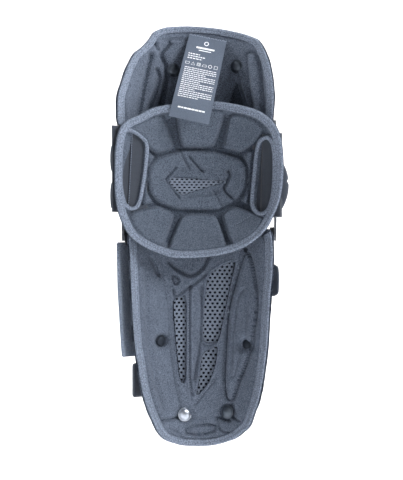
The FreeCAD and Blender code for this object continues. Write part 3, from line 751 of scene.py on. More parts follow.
def knee_h(x, z):
    L = lambda *p: line_d(x, z, smooth_open(Q(*p), 24))
    P = lambda *p: line_d(x, z, Q(*p))
    base = -6.4
    g = np.zeros(x.shape)
    for k, s in enumerate(K_SEG):
        sd = sdist(x, z, s)
        g = np.maximum(g, (7.6 if k in (0, 3, 4) else 6.8) * puff(sd + 0.5, 4.0 if k < 7 else 2.8))
    e = np.clip(sdist(x, z, knee_line[::5]), 0, 99)
    rimband = 1 - sm(8.5, 12.0, e)
    g = np.maximum(g, 4.6 * rimband)
    h = base + g + 0.22 * rumple(x, z, 12) + 0.1 * rumple(x, z + 11, 5)
    # recess with the mesh in the middle
    sd = sdist(x, z, K_REC)
    h -= 2.6 * sm(0, 4.0, sd)
    h += crease(P((175.8, 168.0), (165.8, 179.4), (168.0, 184.0), (179.5, 199)), 1.3, 2.8)
    h += crease(P((177.3, 173.2), (169.0, 181.6)), 1.1, 1.6)
    h += crease(L((213.3, 191.7), (216.5, 197), (219.0, 202), (220.5, 205.5)), 1.6, 1.8)
    h += crease(L((181, 171), (200, 170.6), (217, 171.4), (228, 171.6)), 1.5, 1.5)
    h += ridge(P((173, 174.5), (199, 176), (224, 176.5)), 2.4, 2.0)
    h += ridge(np.abs(P((177, 167.5), (165, 180.5), (179, 198)) - 1.0), 1.6, 1.0)
    bar = rounded(Q((186, 158), (203, 171.5), (209, 177.5), (198, 178), (187, 166)), 2)
    h += crease(L((189, 157), (197.5, 167), (203, 172)), 1.6, 2.6)
    h += crease(L((180, 152), (184, 160), (188.5, 168.5)), 1.6, 2.6)
    h += crease(L((228.3, 171.5), (229.2, 176), (225.4, 183.3), (223.3, 187.5), (225.5, 192.2), (233.5, 200)), 1.9, 3.6)
    sdw = sdist(x, z, K_WIN)
    h -= 3.2 * sm(-0.5, 1.0, sdw)
    h += ridge(np.abs(sdw + 1.6), 1.2, 0.5)
    # fine stitched line on the lower right segment and lower left one
    h += crease(P((232, 227), (250, 216)), 0.9, 0.8)
    h += crease(P((146, 216), (166, 226)), 0.9, 0.5)
    # strap slots
    for s in (SLOT_L, SLOT_R):
        sd = sdist(x, z, s[::3])
        h = h * (1 - sm(-5.5, -2.0, sd)) + (-1.0) * sm(-5.5, -2.0, sd)
        h -= 9.0 * sm(-0.6, 0.8, sd)
    h = np.where(e < 8.5, np.minimum(h, -1.0 + 0 * h), h) * 1.0
    h += 0.25 * np.sin(np.arctan2(z, x) * 70) * np.exp(-((e - 8.0) / 2.5) ** 2)
    return np.maximum(h, -(cup_t(x, z) - 0.7))


def radii(n, rim=1.0, inner=0.012):
    return list(np.linspace(inner, rim, n))


thigh_pad = fix_normals(polar_pad("thigh_liner", thigh_line, (-3, 97), radii(120), thigh_y, thigh_h, pad_t, M_FOAM))
shin_pad = fix_normals(polar_pad("shin_liner", shin_line, (0, -160), radii(150), shin_y, shin_h, lambda x, z: np.full(x.shape, 9.0), M_FOAM))
knee_pad = fix_normals(polar_pad("knee_liner", knee_line, (0, 0), radii(150), cup_y, knee_h, lambda x, z: cup_t(x, z), M_FOAM_K))



def paint_vent_shade(ob, polys, grow):
    """Painted shade: a near-black fabric on the floor of each vent window behind the air mesh, standing in for the
    shade in the recess.
    """
    me = ob.data
    n = len(me.polygons)
    c = np.empty(n * 3)
    me.polygons.foreach_get("center", c)
    c = c.reshape(-1, 3) / S
    no = np.empty(n * 3)
    me.polygons.foreach_get("normal", no)
    no = no.reshape(-1, 3)
    m = np.zeros(n, int)
    me.polygons.foreach_get("material_index", m)
    me.materials.append(M_VENT_SHADE)
    for p in polys:
        m[(sdist(c[:, 0], c[:, 2], p) > grow) & (no[:, 1] < 0)] = len(me.materials) - 1
    me.polygons.foreach_set("material_index", m)


def paint_groove_shade(ob, low):
    """Painted shade: the faces down in the grooves and seams get a darker copy of the foam fabric, standing in for the
    shade that falls there.
    """
    me = ob.data
    n = len(me.polygons)
    c = np.empty(n * 3)
    me.polygons.foreach_get("center", c)
    c = c.reshape(-1, 3) / S
    no = np.empty(n * 3)
    me.polygons.foreach_get("normal", no)
    m = (low(c[:, 0], c[:, 2]) & (no.reshape(-1, 3)[:, 1] < 0)).astype(int)
    me.materials.append(M_GROOVE_SHADE)
    me.polygons.foreach_set("material_index", m)


def knee_low(x, z):
    sd = np.full(x.shape, -99.0)
    for k, s in enumerate(K_SEG):
        sd = np.maximum(sd, sdist(x, z, s))
    e = sdist(x, z, knee_line[::5])
    near = np.maximum(sdist(x, z, SLOT_L[::3]), sdist(x, z, SLOT_R[::3]))
    cuts = np.minimum(line_d(x, z, Q((175.8, 168.0), (165.8, 179.4))), line_d(x, z, Q((189, 157), (197.5, 167), (203, 172))))
    cuts = np.minimum(cuts, line_d(x, z, Q((228.3, 171.5), (229.2, 176), (225.4, 183.3), (223.3, 187.5), (225.5, 192.2), (233.5, 200))))
    return ((sd < -0.2) & (e > 11.5) & (near < -4.0)) | (cuts < 1.0)


# painted shade on the groove and seam faces of the three pads
paint_groove_shade(knee_pad, knee_low)
paint_groove_shade(shin_pad, lambda x, z: shin_relief(x, z) < -2.0)
paint_groove_shade(thigh_pad, lambda x, z: thigh_relief(x, z) < -2.3)
# painted shade on the vent floors behind the air mesh
paint_vent_shade(shin_pad, (WIN_R, WIN_R2, WIN_L), -0.6)
paint_vent_shade(knee_pad, (K_WIN,), -0.2)

# ------------------------------------------------------------------ bindings
def bind_profile(w, back, t0=1.0, rim_h=-1.0):
    return [(w * 0.9, -back - 0.9), (1.0, -back - 1.0), (-0.3, -back - 0.4), (-0.7, -back * 0.5 + 0.0), (-0.5, rim_h + 0.1), (0.3, rim_h + t0 + 0.15), (1.4, rim_h + t0 + 0.75),
            (w * 0.42, rim_h + t0 + 0.9), (w * 0.56, rim_h + t0 + 0.30), (w * 0.64, rim_h + t0 + 0.28), (w * 0.80, rim_h + t0 + 0.80), (w * 0.95, rim_h + t0 + 0.55), (w, rim_h - 0.2), (w * 0.9, rim_h - 1.6)]


def bind(name, line, centre, surf, w, back, keep=None, rim_h=-1.2, mat=M_BIND, sw=0.60):
    u = inward(line, True, centre)
    if keep is not None:
        idx = keep(line)
        # longest run of kept points, unrolled
        n = len(line)
        start = [i for i in range(n) if idx[i] and not idx[i - 1]]
        best = []
        for s0 in start:
            run = []
            i = s0
            while idx[i % n] and len(run) < n:
                run.append(i % n)
                i += 1
            if len(run) > len(best):
                best = run
        path, uu, closed = line[best], u[best], False
    else:
        path, uu, closed = line, u, True
    ob = draped_band(name, path, uu, closed, surf, bind_profile(w, back, rim_h=rim_h), mat, 0.0)
    sp = path + uu * (w * sw)
    p3, n3 = on_surface(sp, surf, rim_h + 1.0 + 0.42)
    st = stitches(name + "_stitch", p3, n3, M_THREAD, closed=closed)
    return ob, st


tb, tbs = bind("thigh_edge_binding", thigh_line, (0, 97), thigh_y, 6.8, 6.0, lambda l: ~((l[:, 1] < 53.0)))
sb, sbs = bind("shin_edge_binding", shin_line, (0, -160), shin_y, 7.4, 6.6, lambda l: ~((l[:, 1] > -55.5)))
kb, kbs = bind("knee_edge_binding", knee_line, (0, 0), cup_y, 7.4, 3.4, None, rim_h=-1.2)


def slot_ring(name, line):
    c = line.mean(0)
    u = -inward(line, True, c)
    prof = [(-0.6, -6.0), (-0.7, -0.6), (-0.2, 0.5), (0.8, 1.0), (2.2, 0.95), (3.3, 0.55), (3.7, -0.4), (3.4, -2.6), (1.6, -6.0)]
    prof = [(a, b - 1.0) for a, b in prof]
    ob = draped_band(name, line, u, True, cup_y, prof, M_BIND)
    p3, n3 = on_surface(line + u * 2.3, cup_y, 0.0)
    return ob, stitches(name + "_stitch", p3, n3, M_THREAD, pitch=3.0, length=2.0, r=0.28, closed=True)


sl, sls = slot_ring("slot_binding_left", SLOT_L)
sr, srs = slot_ring("slot_binding_right", SLOT_R)


# ------------------------------------------------------------------ mesh windows
def air_mesh(name, poly, surf, depth, px=5.3, pz=4.07, hole=(1.85, 1.72), grow=2.6):
    x0, z0 = poly.min(0) - 6
    x1, z1 = poly.max(0) + 6
    V, F = [], []
    row = 0
    z = z0
    while z < z1:
        x = x0 + (px / 2 if row % 2 else 0)
        while x < x1:
            sd = sdist(np.array([x]), np.array([z]), poly)[0]
            if sd > -grow:
                base = len(V)
                cell = [(-px / 2, -pz / 2), (0, -pz / 2 * 1.0), (px / 2, -pz / 2), (px / 2, 0), (px / 2, pz / 2), (0, pz / 2), (-px / 2, pz / 2), (-px / 2, 0)]
                for (ax, az) in cell:
                    V.append((x + ax, z + az, 0.0))
                k = 8
                for rr, lift in ((1.13, 0.35), (1.0, 0.05), (0.96, -0.5)):
                    for i in range(8):
                        an = math.atan2(cell[i][1] / pz, cell[i][0] / px)
                        V.append((x + math.cos(an) * hole[0] * rr, z + math.sin(an) * hole[1] * rr, lift))
                for ring in range(3):
                    for i in range(8):
                        j = (i + 1) % 8
                        F.append((base + ring * 8 + i, base + ring * 8 + j, base + (ring + 1) * 8 + j, base + (ring + 1) * 8 + i))
            x += px
        z += pz
        row += 1
    V = np.array(V)
    x, z, l = V[:, 0], V[:, 1], V[:, 2]
    nx, ny, nz, ln = normal_of(surf, x, z)
    off = -depth + l
    W = np.stack([x - nx * off, surf(x, z) - ny * off, z - nz * off], 1)
    ob = fix_normals(new_mesh(name, W, F, M_MESH))
    so = ob.modifiers.new("thick", 'SOLIDIFY')
    so.thickness = 0.0005
    so.offset = 0
    return ob


mr = air_mesh("shin_vent_right", WIN_R, shin_y, 0.2)
mr2 = air_mesh("shin_vent_lower", WIN_R2, shin_y, 0.2)
ml = air_mesh("shin_vent_left", WIN_L, shin_y, 0.2, px=5.0)
mk = air_mesh("knee_vent", K_WIN, cup_y, 3.0, px=5.2, pz=2.9, hole=(1.9, 1.12), grow=1.6)


# ------------------------------------------------------------------ rivets
def cap(name, px, py, surf, r, h, sink, mat=M_CHROME, back=10.95):
    x, z = q(px, py)
    xa, za = np.array([x]), np.array([z])
    nx, ny, nz, ln = [float(v[0]) for v in normal_of(surf, xa, za)]
    y = float(surf(xa, za)[0])
    n = np.array([-nx, -ny, -nz])
    pos = np.array([x, y, z]) - n * sink
    prof = [(0.001, h)] + [(r * 0.86 * math.sin(t), 0.9 + (h - 0.9) * math.cos(t)) for t in np.linspace(0.15, math.pi / 2, 10)]
    prof += [(r * 0.885, 0.62), (r * 0.93, 0.60), (r * 0.98, 0.72), (r * 1.02, 0.35), (r * 0.97, -0.5), (2.4, -0.7)]
    d = back - sink
    prof += [(2.4, -d), (5.2, -d - 0.1), (5.5, -d - 0.5), (5.1, -d - 1.15), (3.6, -d - 1.4), (0.001, -d - 1.45)]
    return revolve(name, prof, pos, n, mat)


rv = [cap("thigh_snap_left", 173.7, 69, thigh_y, 7.4, 3.6, 1.4, M_DARKCAP), cap("thigh_snap_right", 236, 66, thigh_y, 7.4, 3.6, 1.4, M_DARKCAP)]
rs = [cap("shin_snap_left", 184.9, 416, shin_y, 7.6, 3.6, 1.4, M_CHROME, 11.95), cap("shin_snap_right", 226.7, 412.8, shin_y, 7.6, 3.6, 1.6, M_DARKCAP, 11.95)]
rm = [cap("shin_rivet_left", 162.2, 341.4, shin_y, 6.0, 2.6, 2.6, M_BLACKCAP, 11.95), cap("shin_rivet_right", 244.9, 344.2, shin_y, 6.0, 2.6, 2.6, M_BLACKCAP, 11.95)]

# ------------------------------------------------------------------ care label
LT = [(-10.6, 164.2), (30.8, 155.4), (-32.6, 69.3), (10.5, 59.6)]       # corners TL TR BL BR, x z
def label_pt(u, v, off=0.0):
    """u across 0..1, v down 0..1."""
    tl, tr, bl, br = [np.array(p) for p in LT]
    p = (tl * (1 - u) + tr * u) * (1 - v) + (bl * (1 - u) + br * u) * v
    ys = np.interp(v, [0, 0.10, 0.25, 0.45, 0.62, 0.72, 0.80, 0.88, 1.0], [15.6, 12.0, 3.0, -12.0, -25.0, -31.0, -34.0, -35.4, -36.4]) - 5.2 * (u - 0.5)
    wav = 0.7 * math.sin(v * 7.0 + u * 2.0) * math.sin(v * math.pi) + 0.9 * (u - 0.5) ** 2 * math.sin(v * 9)
    return np.array([p[0], ys - wav - off, p[1]])


nu, nv = 14, 60
G = np.array([[label_pt(i / (nu - 1), j / (nv - 1)) for i in range(nu)] for j in range(nv)])
# a smoothing pass down the length takes the kinks out of the fall
for _ in range(40):
    G[1:-1, :, 1] = 0.25 * G[:-2, :, 1] + 0.5 * G[1:-1, :, 1] + 0.25 * G[2:, :, 1]


def label_at(u, v, off):
    a, b = u * (nu - 1), v * (nv - 1)
    i, j = min(int(a), nu - 2), min(int(b), nv - 2)
    fa, fb = a - i, b - j
    p = G[j, i] * (1 - fa) * (1 - fb) + G[j, i + 1] * fa * (1 - fb) + G[j + 1, i] * (1 - fa) * fb + G[j + 1, i + 1] * fa * fb
    e1 = G[j, i + 1] - G[j, i]
    e2 = G[j + 1, i] - G[j, i]
    n = np.cross(e1, e2)
    n /= np.linalg.norm(n)
    if n[1] > 0:
        n = -n
    return p + n * off


label = new_mesh("care_tag", G.reshape(-1, 3), grid_faces(nv, nu, False), M_LABEL)


def print_marks():
    V, F = [], []

    def quad(u0, v0, u1, v1, off=0.14):
        m = max(1, int((u1 - u0) * 14))
        for k in range(m):
            a, b = u0 + (u1 - u0) * k / m, u0 + (u1 - u0) * (k + 1) / m
            base = len(V)
            for (uu, vv) in ((a, v0), (b, v0), (b, v1), (a, v1)):
                V.append(label_at(uu, vv, off))
            F.append((base, base + 1, base + 2, base + 3))

    def poly(cu, cv, pts, off=0.14):
        base = len(V)
        for a, b in pts:
            V.append(label_at(cu + a / 42.5, cv + b / 104.0, off))
        F.append(tuple(range(base, base + len(pts))))

    def ring(cu, cv, shape, w=0.45):
        pts = np.array(shape, float)
        c = pts.mean(0)
        inner = c + (pts - c) * (1 - w / np.linalg.norm(pts - c, axis=1).mean())
        n = len(pts)
        base = len(V)
        for a, b in list(pts) + list(inner):
            V.append(label_at(cu + a / 42.5, cv + b / 104.0, 0.14))
        for i in range(n):
            j = (i + 1) % n
            F.append((base + i, base + j, base + n + j, base + n + i))

    r = np.random.default_rng(3)
    # heading: a plain disc and two bars
    disc = [(2.6 * math.cos(t), 2.6 * math.sin(t)) for t in np.linspace(0, 2 * math.pi, 25)[:-1]]
    ring(0.5, 0.085, disc, 0.9)
    quad(0.26, 0.135, 0.74, 0.155)
    quad(0.34, 0.170, 0.66, 0.180)
    for v, a, b in ((0.225, 0.10, 0.42), (0.252, 0.10, 0.55), (0.279, 0.10, 0.48)):
        x = a
        while x < b:
            w = r.uniform(0.03, 0.075)
            quad(x, v, min(x + w, b), v + 0.011)
            x += w + 0.018
    # row of plain care symbols
    tub = [(-2.4, -1.4), (2.4, -1.4), (1.9, 1.7), (-1.9, 1.7)]
    tri = [(0, -2.0), (2.3, 1.8), (-2.3, 1.8)]
    sq = [(-2, -2), (2, -2), (2, 2), (-2, 2)]
    circ = [(2.1 * math.cos(t), 2.1 * math.sin(t)) for t in np.linspace(0, 2 * math.pi, 21)[:-1]]
    iron = [(-2.6, 1.6), (-1.6, -1.2), (2.0, -1.2), (2.6, 1.6)]
    for k, sh in enumerate((tub, tri, sq, iron, circ, sq)):
        ring(0.13 + k * 0.148, 0.345, sh, 0.55)
    ring(0.13 + 2 * 0.148, 0.345, [(1.2 * math.cos(t), 1.2 * math.sin(t)) for t in np.linspace(0, 2 * math.pi, 17)[:-1]], 0.4)
    v = 0.395
    for k in range(16):
        x = 0.09
        end = 0.92 if k % 4 != 3 else r.uniform(0.4, 0.7)
        while x < end:
            w = r.uniform(0.025, 0.085)
            quad(x, v, min(x + w, end), v + 0.0085)
            x += w + 0.014
        v += 0.0232
    # closing heavier bar line
    x = 0.16
    while x < 0.84:
        w = r.uniform(0.05, 0.10)
        quad(x, 0.865, min(x + w, 0.84), 0.882)
        x += w + 0.012
    return new_mesh("care_tag_print", np.array(V), F, M_PRINT, False)


label_print = print_marks()
# woven tape's seam where it is sewn under the top binding: zig-zag stitches
seam = np.array([[label_at(u, 0.012, 0.0)] for u in np.linspace(0.0, 1.0, 20)])[:, 0]
zig = stitches("label_zigzag", seam, np.tile([0, -1.0, 0], (20, 1)), M_THREAD, pitch=2.0, length=2.6, r=0.34, skew=0.9)


# ------------------------------------------------------------------ straps
def strap(name, path_xy, zc, width, t, mat, hem=True, bulge=None, wide=None):
    """Flat webbing: path_xy is its inner face in plan, zc the height of its centre line at each point."""
    n = len(path_xy)
    tan = path_frames(path_xy, False)
    nor = np.stack([tan[:, 1], -tan[:, 0]], 1)
    cen = path_xy.mean(0)
    if ((path_xy - np.array([0, -20.0])) * nor).sum() < 0:
        nor = -nor
    prof = []
    m = 14
    hw = width / 2
    for i in range(m + 1):
        s = -hw + width * i / m
        k = abs(s) / hw
        prof.append((s, t + (0.35 if hem and k > 0.88 else 0.0) - (0.5 * t if k > 0.985 else 0)))
    for i in range(m + 1):
        s = hw - width * i / m
        prof.append((s, 0.0 + (0.35 * t if abs(s) / hw > 0.985 else 0)))
    prof = np.array(prof)
    V = []
    for i in range(n):
        bu = 0.0 if bulge is None else bulge[i]
        wi = 1.0 if wide is None else wide[i]
        for s, d in prof:
            dd = d + bu * (1 - (s / hw) ** 2)
            V.append((path_xy[i, 0] + nor[i, 0] * dd, path_xy[i, 1] + nor[i, 1] * dd, zc[i] + s * wi))
    mm = len(prof)
    F = []
    for i in range(n - 1):
        for a in range(mm):
            b = (a + 1) % mm
            F.append((i * mm + a, (i + 1) * mm + a, (i + 1) * mm + b, i * mm + b))
    F.append(tuple(range(mm)))
    F.append(tuple(range((n - 1) * mm, n * mm)))
    return fix_normals(new_mesh(name, np.array(V), F, mat)), nor


def knee_strap(name, sgn):
    xs = np.concatenate([np.linspace(-92.45, -84, 30), np.linspace(-83, 87.1, 100)])
    path = resample(np.stack([xs, strap_y(xs)], 1), 160, False)
    zl = 23.75 if sgn > 0 else -16.75
    zc = np.interp(path[:, 0], [-86, -80, -26, -20, 20, 26, 74, 80], [zl, zl + sgn * 1.6, sgn * 51.6, sgn * 53, sgn * 53, sgn * 51.8, sgn * 20.6, sgn * 19.25])
    zc = np.convolve(np.pad(zc, 5, mode='edge'), np.ones(11) / 11, 'valid')
    seg = np.concatenate([[0], np.cumsum(np.linalg.norm(np.diff(path, axis=0), axis=1))])
    wide = 1 - 0.16 * np.clip(1 - seg / 7.0, 0, 1) ** 2
    bulge = 1.1 * np.exp(-(seg / 16.0) ** 2)
    ob, nor = strap(name, path, zc, 34.0, 2.0, M_STRAP, True, bulge, wide)
    sts = []
    for k, side in enumerate((-1, 1)):
        p3 = np.stack([path[:, 0] + nor[:, 0] * 2.25, path[:, 1] + nor[:, 1] * 2.25, zc + side * 14.6], 1)[40:]
        n3 = np.stack([nor[:, 0], nor[:, 1], np.zeros(len(nor))], 1)[40:]
        sts.append(stitches(name + "_s%d" % k, p3, n3, M_THREAD, pitch=3.4, length=2.2, r=0.28))
    # hook tab on the left end
    sel = path[:, 0] < -68
    tp = path[sel] + nor[sel] * 2.0
    tab, _ = strap(name + "_tab", tp, zc[sel], 33.0, 1.2, M_HOOK, False, bulge[sel], wide[sel])
    return ob, sts, tab


ks_u, ks_us, ks_ut = knee_strap("upper_strap", 1)
ks_l, ks_ls, ks_lt = knee_strap("lower_strap", -1)


def shin_path(z, d, u0, u1, n=80):
    a = float(np.interp(z, _sz, _sw) - 4.0)
    x = a * np.linspace(u0, u1, n)
    y = shin_y(x, np.full(n, z))
    e = 0.05
    s = (shin_y(x + e, np.full(n, z)) - shin_y(x - e, np.full(n, z))) / (2 * e)
    ln = np.sqrt(1 + s * s)
    return np.stack([x - s / ln * d, y + d / ln], 1)


WING_D = 14.05


def wing_fast():
    zs = np.concatenate([np.linspace(-68.2, -70.5, 4), np.linspace(-72, -188, 40), np.linspace(-189.5, -191.8, 4)])
    cols = 60
    V = []
    for side in (0, 1):
        for z in zs:
            edge = min(z + 191.8, -68.2 - z)
            k = np.linspace(0, 1, cols)
            e2 = np.minimum(k, 1 - k) * 88
            t = 3.0 * sm(-1.5, 3.5, np.minimum(edge, e2)) + 0.25 * rumple(k * 88.0, np.full(cols, z), 12)
            p0 = shin_path(float(z), WING_D + 0.15, -1.02, -0.17, cols)
            p1 = shin_path(float(z), WING_D + 1.15, -1.02, -0.17, cols)
            top = np.interp(p0[:, 0], [-90, -78, -52, -34, -5], [-68.2, -68.2, -74.5, -80.5, -86.5])
            zz = np.minimum(z, top) if z > -90 else np.full(cols, z)
            nn = p1 - p0
            d = np.zeros(cols) if side == 0 else np.maximum(0.5, t)
            P = p0 + nn * d[:, None]
            V += [(P[i, 0], P[i, 1], zz[i]) for i in range(cols)]
    F = []
    R = len(zs)
    F += grid_faces(R, cols, False, 0)
    F += grid_faces(R, cols, False, R * cols, True)
    o = R * cols
    for i in range(cols - 1):
        F.append((i, i + 1, o + i + 1, o + i))
        b = (R - 1) * cols
        F.append((b + i, o + b + i, o + b + i + 1, b + i + 1))
    for r in range(R - 1):
        F.append((r * cols, o + r * cols, o + (r + 1) * cols, (r + 1) * cols))
        a = r * cols + cols - 1
        F.append((a, a + cols, o + a + cols, o + a))
    return fix_normals(new_mesh("calf_flap", np.array(V), F, M_FLAP_LIT))


calf = wing_fast()


def tube(name, pts, r, mat, seg=10):
    """Round piping along a 3-D polyline."""
    n = len(pts)
    t = np.gradient(pts, axis=0)
    t /= np.linalg.norm(t, axis=1)[:, None]
    V, F = [], []
    ref = np.array([0.2, 1.0, 0.1])
    for i in range(n):
        e1 = np.cross(t[i], ref)
        e1 /= np.linalg.norm(e1)
        e2 = np.cross(t[i], e1)
        for k in range(seg):
            a = 2 * math.pi * k / seg
            V.append(pts[i] + (e1 * math.cos(a) + e2 * math.sin(a)) * r)
    for i in range(n - 1):
        for k in range(seg):
            j = (k + 1) % seg
            F.append((i * seg + k, i * seg + j, (i + 1) * seg + j, (i + 1) * seg + k))
    F.append(tuple(range(seg))[::-1])
    F.append(tuple(range((n - 1) * seg, n * seg)))
    return fix_normals(new_mesh(name, np.array(V), F, mat))


# piping round the flap: left edge, lower edge, front edge, upper edge
wz = np.linspace(-69, -191, 60)
left = np.array([[*shin_path(float(z), WING_D + 1.6, -1.02, -1.0, 2)[0], z] for z in wz])
bot = np.array([[p[0], p[1], -191.3] for p in shin_path(-191.0, WING_D + 1.6, -1.015, -0.18, 50)])
rightp = np.array([[*shin_path(float(z), WING_D + 1.6, -0.175, -0.17, 2)[0], z] for z in wz[::-1]])
topp = np.array([[p[0], p[1], float(np.interp(p[0], [-90, -78, -52, -34, -5], [-68.7, -68.7, -75.0, -81.0, -87.0]))] for p in shin_path(-69.0, WING_D + 1.6, -1.015, -0.18, 50)])[::-1]
loop = np.vstack([left, bot, rightp, topp])
pipe = tube("calf_flap_piping", loop, 1.5, M_BIND)

cp = shin_path(-109.0, WING_D + 2.0, -0.13, 0.985, 110)
calf_s, cn = strap("calf_strap_band", cp, np.full(len(cp), -109.0), 35.6, 2.0, M_STRAP, True,
                   1.0 * np.exp(-((np.arange(110) - 109) / 9.0) ** 2), 1 - 0.18 * np.clip((np.arange(110) - 102) / 7.0, 0, 1) ** 2)
ctp = shin_path(-109.0, WING_D + 1.1, -0.13, 0.16, 30)
calf_t, _ = strap("calf_strap_hook", ctp, np.full(len(ctp), -109.0), 34.0, 0.7, M_HOOK, False)
ap = shin_path(-219.0, WING_D + 0.1, -0.90, 0.80, 110)
ank_s, an = strap("ankle_strap_band", ap, np.full(len(ap), -219.0), 37.6, 2.0, M_STRAP)
atp = shin_path(-219.0, WING_D + 2.2, -0.90, -0.58, 30)
ank_t, _ = strap("ankle_strap_hook", atp, np.full(len(atp), -219.0), 36.0, 1.5, M_HOOK, False)
cst = []
for ob_name, path, nor, zc, w in (("calf_strap", cp, cn, -109.0, 15.6), ("ankle_strap", ap, an, -219.0, 16.6)):
    for k, side in enumerate((-1, 1)):
        p3 = np.stack([path[:, 0] + nor[:, 0] * 2.25, path[:, 1] + nor[:, 1] * 2.25, np.full(len(path), zc + side * w)], 1)
        n3 = np.stack([nor[:, 0], nor[:, 1], np.zeros(len(nor))], 1)
        cst.append(stitches(ob_name + "_st%d" % k, p3, n3, M_THREAD, pitch=3.4, length=2.2, r=0.28))


# elastic webbing seen through the slots
def slot_web(name, line, depth, xs):
    """Ribbed elastic behind a slot; one strip lies over the other."""
    x0, z0 = line.min(0) - 4
    x1, z1 = line.max(0) + 4
    obs = []
    for k, (a, b, dd) in enumerate(xs):
        n, m = 40, 14
        V = []
        for side in (0, 1):
            for i in range(n):
                z = z0 + (z1 - z0) * i / (n - 1)
                for j in range(m):
                    s = j / (m - 1)
                    xa = a[0] + (a[1] - a[0]) * (i / (n - 1))
                    xb = b[0] + (b[1] - b[0]) * (i / (n - 1))
                    x = xa + (xb - xa) * s
                    nx, ny, nz, ln = [float(v) for v in normal_of(cup_y, np.float64(x), np.float64(z))]
                    edge = min(s, 1 - s)
                    off = -(depth + dd) - (0.0 if side == 0 else 1.6) + (-0.35 if edge < 0.02 and side == 0 else 0)
                    V.append((x - nx * off, float(cup_y(np.float64(x), np.float64(z))) - ny * off, z - nz * off))
        F = grid_faces(n, m, False, 0) + grid_faces(n, m, False, n * m, True)
        o = n * m
        for i in range(n - 1):
            F.append((i * m, o + i * m, o + (i + 1) * m, (i + 1) * m))
            c = i * m + m - 1
            F.append((c, c + m, o + c + m, o + c))
        for j in range(m - 1):
            F.append((j, j + 1, o + j + 1, o + j))
            c = (n - 1) * m + j
            F.append((c, o + c, o + c + 1, c + 1))
        obs.append(fix_normals(new_mesh("%s_%d" % (name, k), np.array(V), F, M_ELASTIC_SHADE)))
    return obs


xl0, xl1 = SLOT_L[:, 0].min() - 4, SLOT_L[:, 0].max() + 4
xr0, xr1 = SLOT_R[:, 0].min() - 4, SLOT_R[:, 0].max() + 4
webL = slot_web("slot_elastic_left", SLOT_L, 4.2, [((xl0, xl0), (xl1, xl1), 1.8), ((-74.5, -70.0), (xl1, xl1), 0.0)])
webR = slot_web("slot_elastic_right", SLOT_R, 4.2, [((xr0, xr0), (xr1, xr1), 1.8), ((64.0, 66.0), (xr1, xr1), 0.0)])
edgeL = []
p = np.stack([np.linspace(-74.2, -69.7, 40), np.linspace(SLOT_L[:, 1].min() - 3, SLOT_L[:, 1].max() + 3, 40)], 1)
p3, n3 = on_surface(p, cup_y, -3.9)
edgeL = stitches("slot_elastic_stitch", p3, n3, M_THREAD, pitch=2.6, length=2.3, r=0.32)

# elastic gusset loop on the right: two folded bands standing out past the knee pad
def gusset():
    V, F = [], []
    n = 48
    for i in range(n):
        k = i / (n - 1)
        z = 23.5 - 59.0 * k
        out = 84.5 + 13.0 * math.sin(math.pi * k) ** 0.5 * (0.93 + 0.07 * math.sin(3.1 * k + 0.4))
        notch = 1.6 * math.exp(-((k - 0.42) / 0.035) ** 2)
        out -= notch
        prof = [(82.5, -31.6), (86 + (out - 86) * 0.5, -31.3), (out - 1.6, -31.5), (out - 0.4, -32.4), (out, -33.6), (out - 0.5, -35.0), (out - 1.8, -35.9), (86 + (out - 86) * 0.5, -36.3), (82.5, -36.2)]
        for x, y in prof:
            V.append((x, y, z))
    m = 9
    for i in range(n - 1):
        for a in range(m):
            b = (a + 1) % m
            F.append((i * m + a, (i + 1) * m + a, (i + 1) * m + b, i * m + b))
    F.append(tuple(range(m)))
    F.append(tuple(range((n - 1) * m, n * m)))
    return fix_normals(new_mesh("elastic_gusset", np.array(V), F, M_ELASTIC_SHADE))


gus = gusset()

# long sewn lines that show as rows of small stitches
def sewn(name, pts, surf, hfun, mat=M_THREAD, lift=0.25, n=80, pitch=2.8, length=1.9, r=0.28):
    path = smooth_open(Q(*pts), n)
    h = hfun(path[:, 0], path[:, 1])
    x, z = path[:, 0], path[:, 1]
    nx, ny, nz, ln = normal_of(surf, x, z)
    off = h + lift
    p3 = np.stack([x - nx * off, surf(x, z) - ny * off, z - nz * off], 1)
    return stitches(name, p3, np.stack([-nx, -ny, -nz], 1), mat, pitch, length, r)


shin_st = [sewn("shin_seam_a", ((188.5, 289), (188.3, 320), (188.2, 350), (188.8, 378), (191, 394)), shin_y, shin_h),
           sewn("shin_seam_b", ((215, 381), (208, 389), (200, 399), (195, 405)), shin_y, shin_h),
           sewn("shin_seam_c", ((200.5, 290), (201.5, 310), (200.5, 338), (197.5, 356), (193.5, 380)), shin_y, shin_h, M_DARKTHREAD),
           sewn("shin_seam_d", ((137.5, 258), (139, 300), (141.5, 338), (146, 368), (153, 398), (159, 414)), shin_y, shin_h, M_DARKTHREAD)]
thigh_st = [sewn("thigh_seam_a", ((137, 57), (133, 64), (129, 84), (126.9, 98), (126.2, 106), (127.4, 119)), thigh_y, thigh_h)]
knee_st = [sewn("knee_seam_a", ((232, 227), (241, 221.5), (250, 216)), cup_y, knee_h, n=20, pitch=2.4, length=1.7)]

# ------------------------------------------------------------------ declare
def give(ob, body, nodes=()):
    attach(ob, body)
    if nodes:
        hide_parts(*nodes)


give(thigh_pad, "thigh", ["thigh_pad"])
give(shin_pad, "shin", ["shin_pad"])
give(knee_pad, "knee", ["knee_pad"])
give(tb, "thigh", ["thigh_binding"])
give(sb, "shin", ["shin_binding"])
give(kb, "knee", ["knee_binding"])
for o in (tbs, zig):
    give(o, "thigh", ["label_stitching"] if o is zig else [])
give(sbs, "shin")
give(kbs, "knee")
give(sl, "knee", ["slot_bindings"])
give(sr, "knee")
for o in (sls, srs, edgeL):
    give(o, "knee")
give(mr, "shin", ["shin_mesh_right"])
give(mr2, "shin")
give(ml, "shin", ["shin_mesh_left"])
give(mk, "knee", ["knee_mesh"])
give(rv[0], "thigh", ["thigh_rivets"])
give(rv[1], "thigh")
give(rs[0], "shin", ["shin_rivets_low"])
give(rm[0], "shin", ["shin_rivets_mid"])
give(rs[1], "shin")
give(rm[1], "shin")
give(label, "label", ["care_label"])
give(label_print, "label")
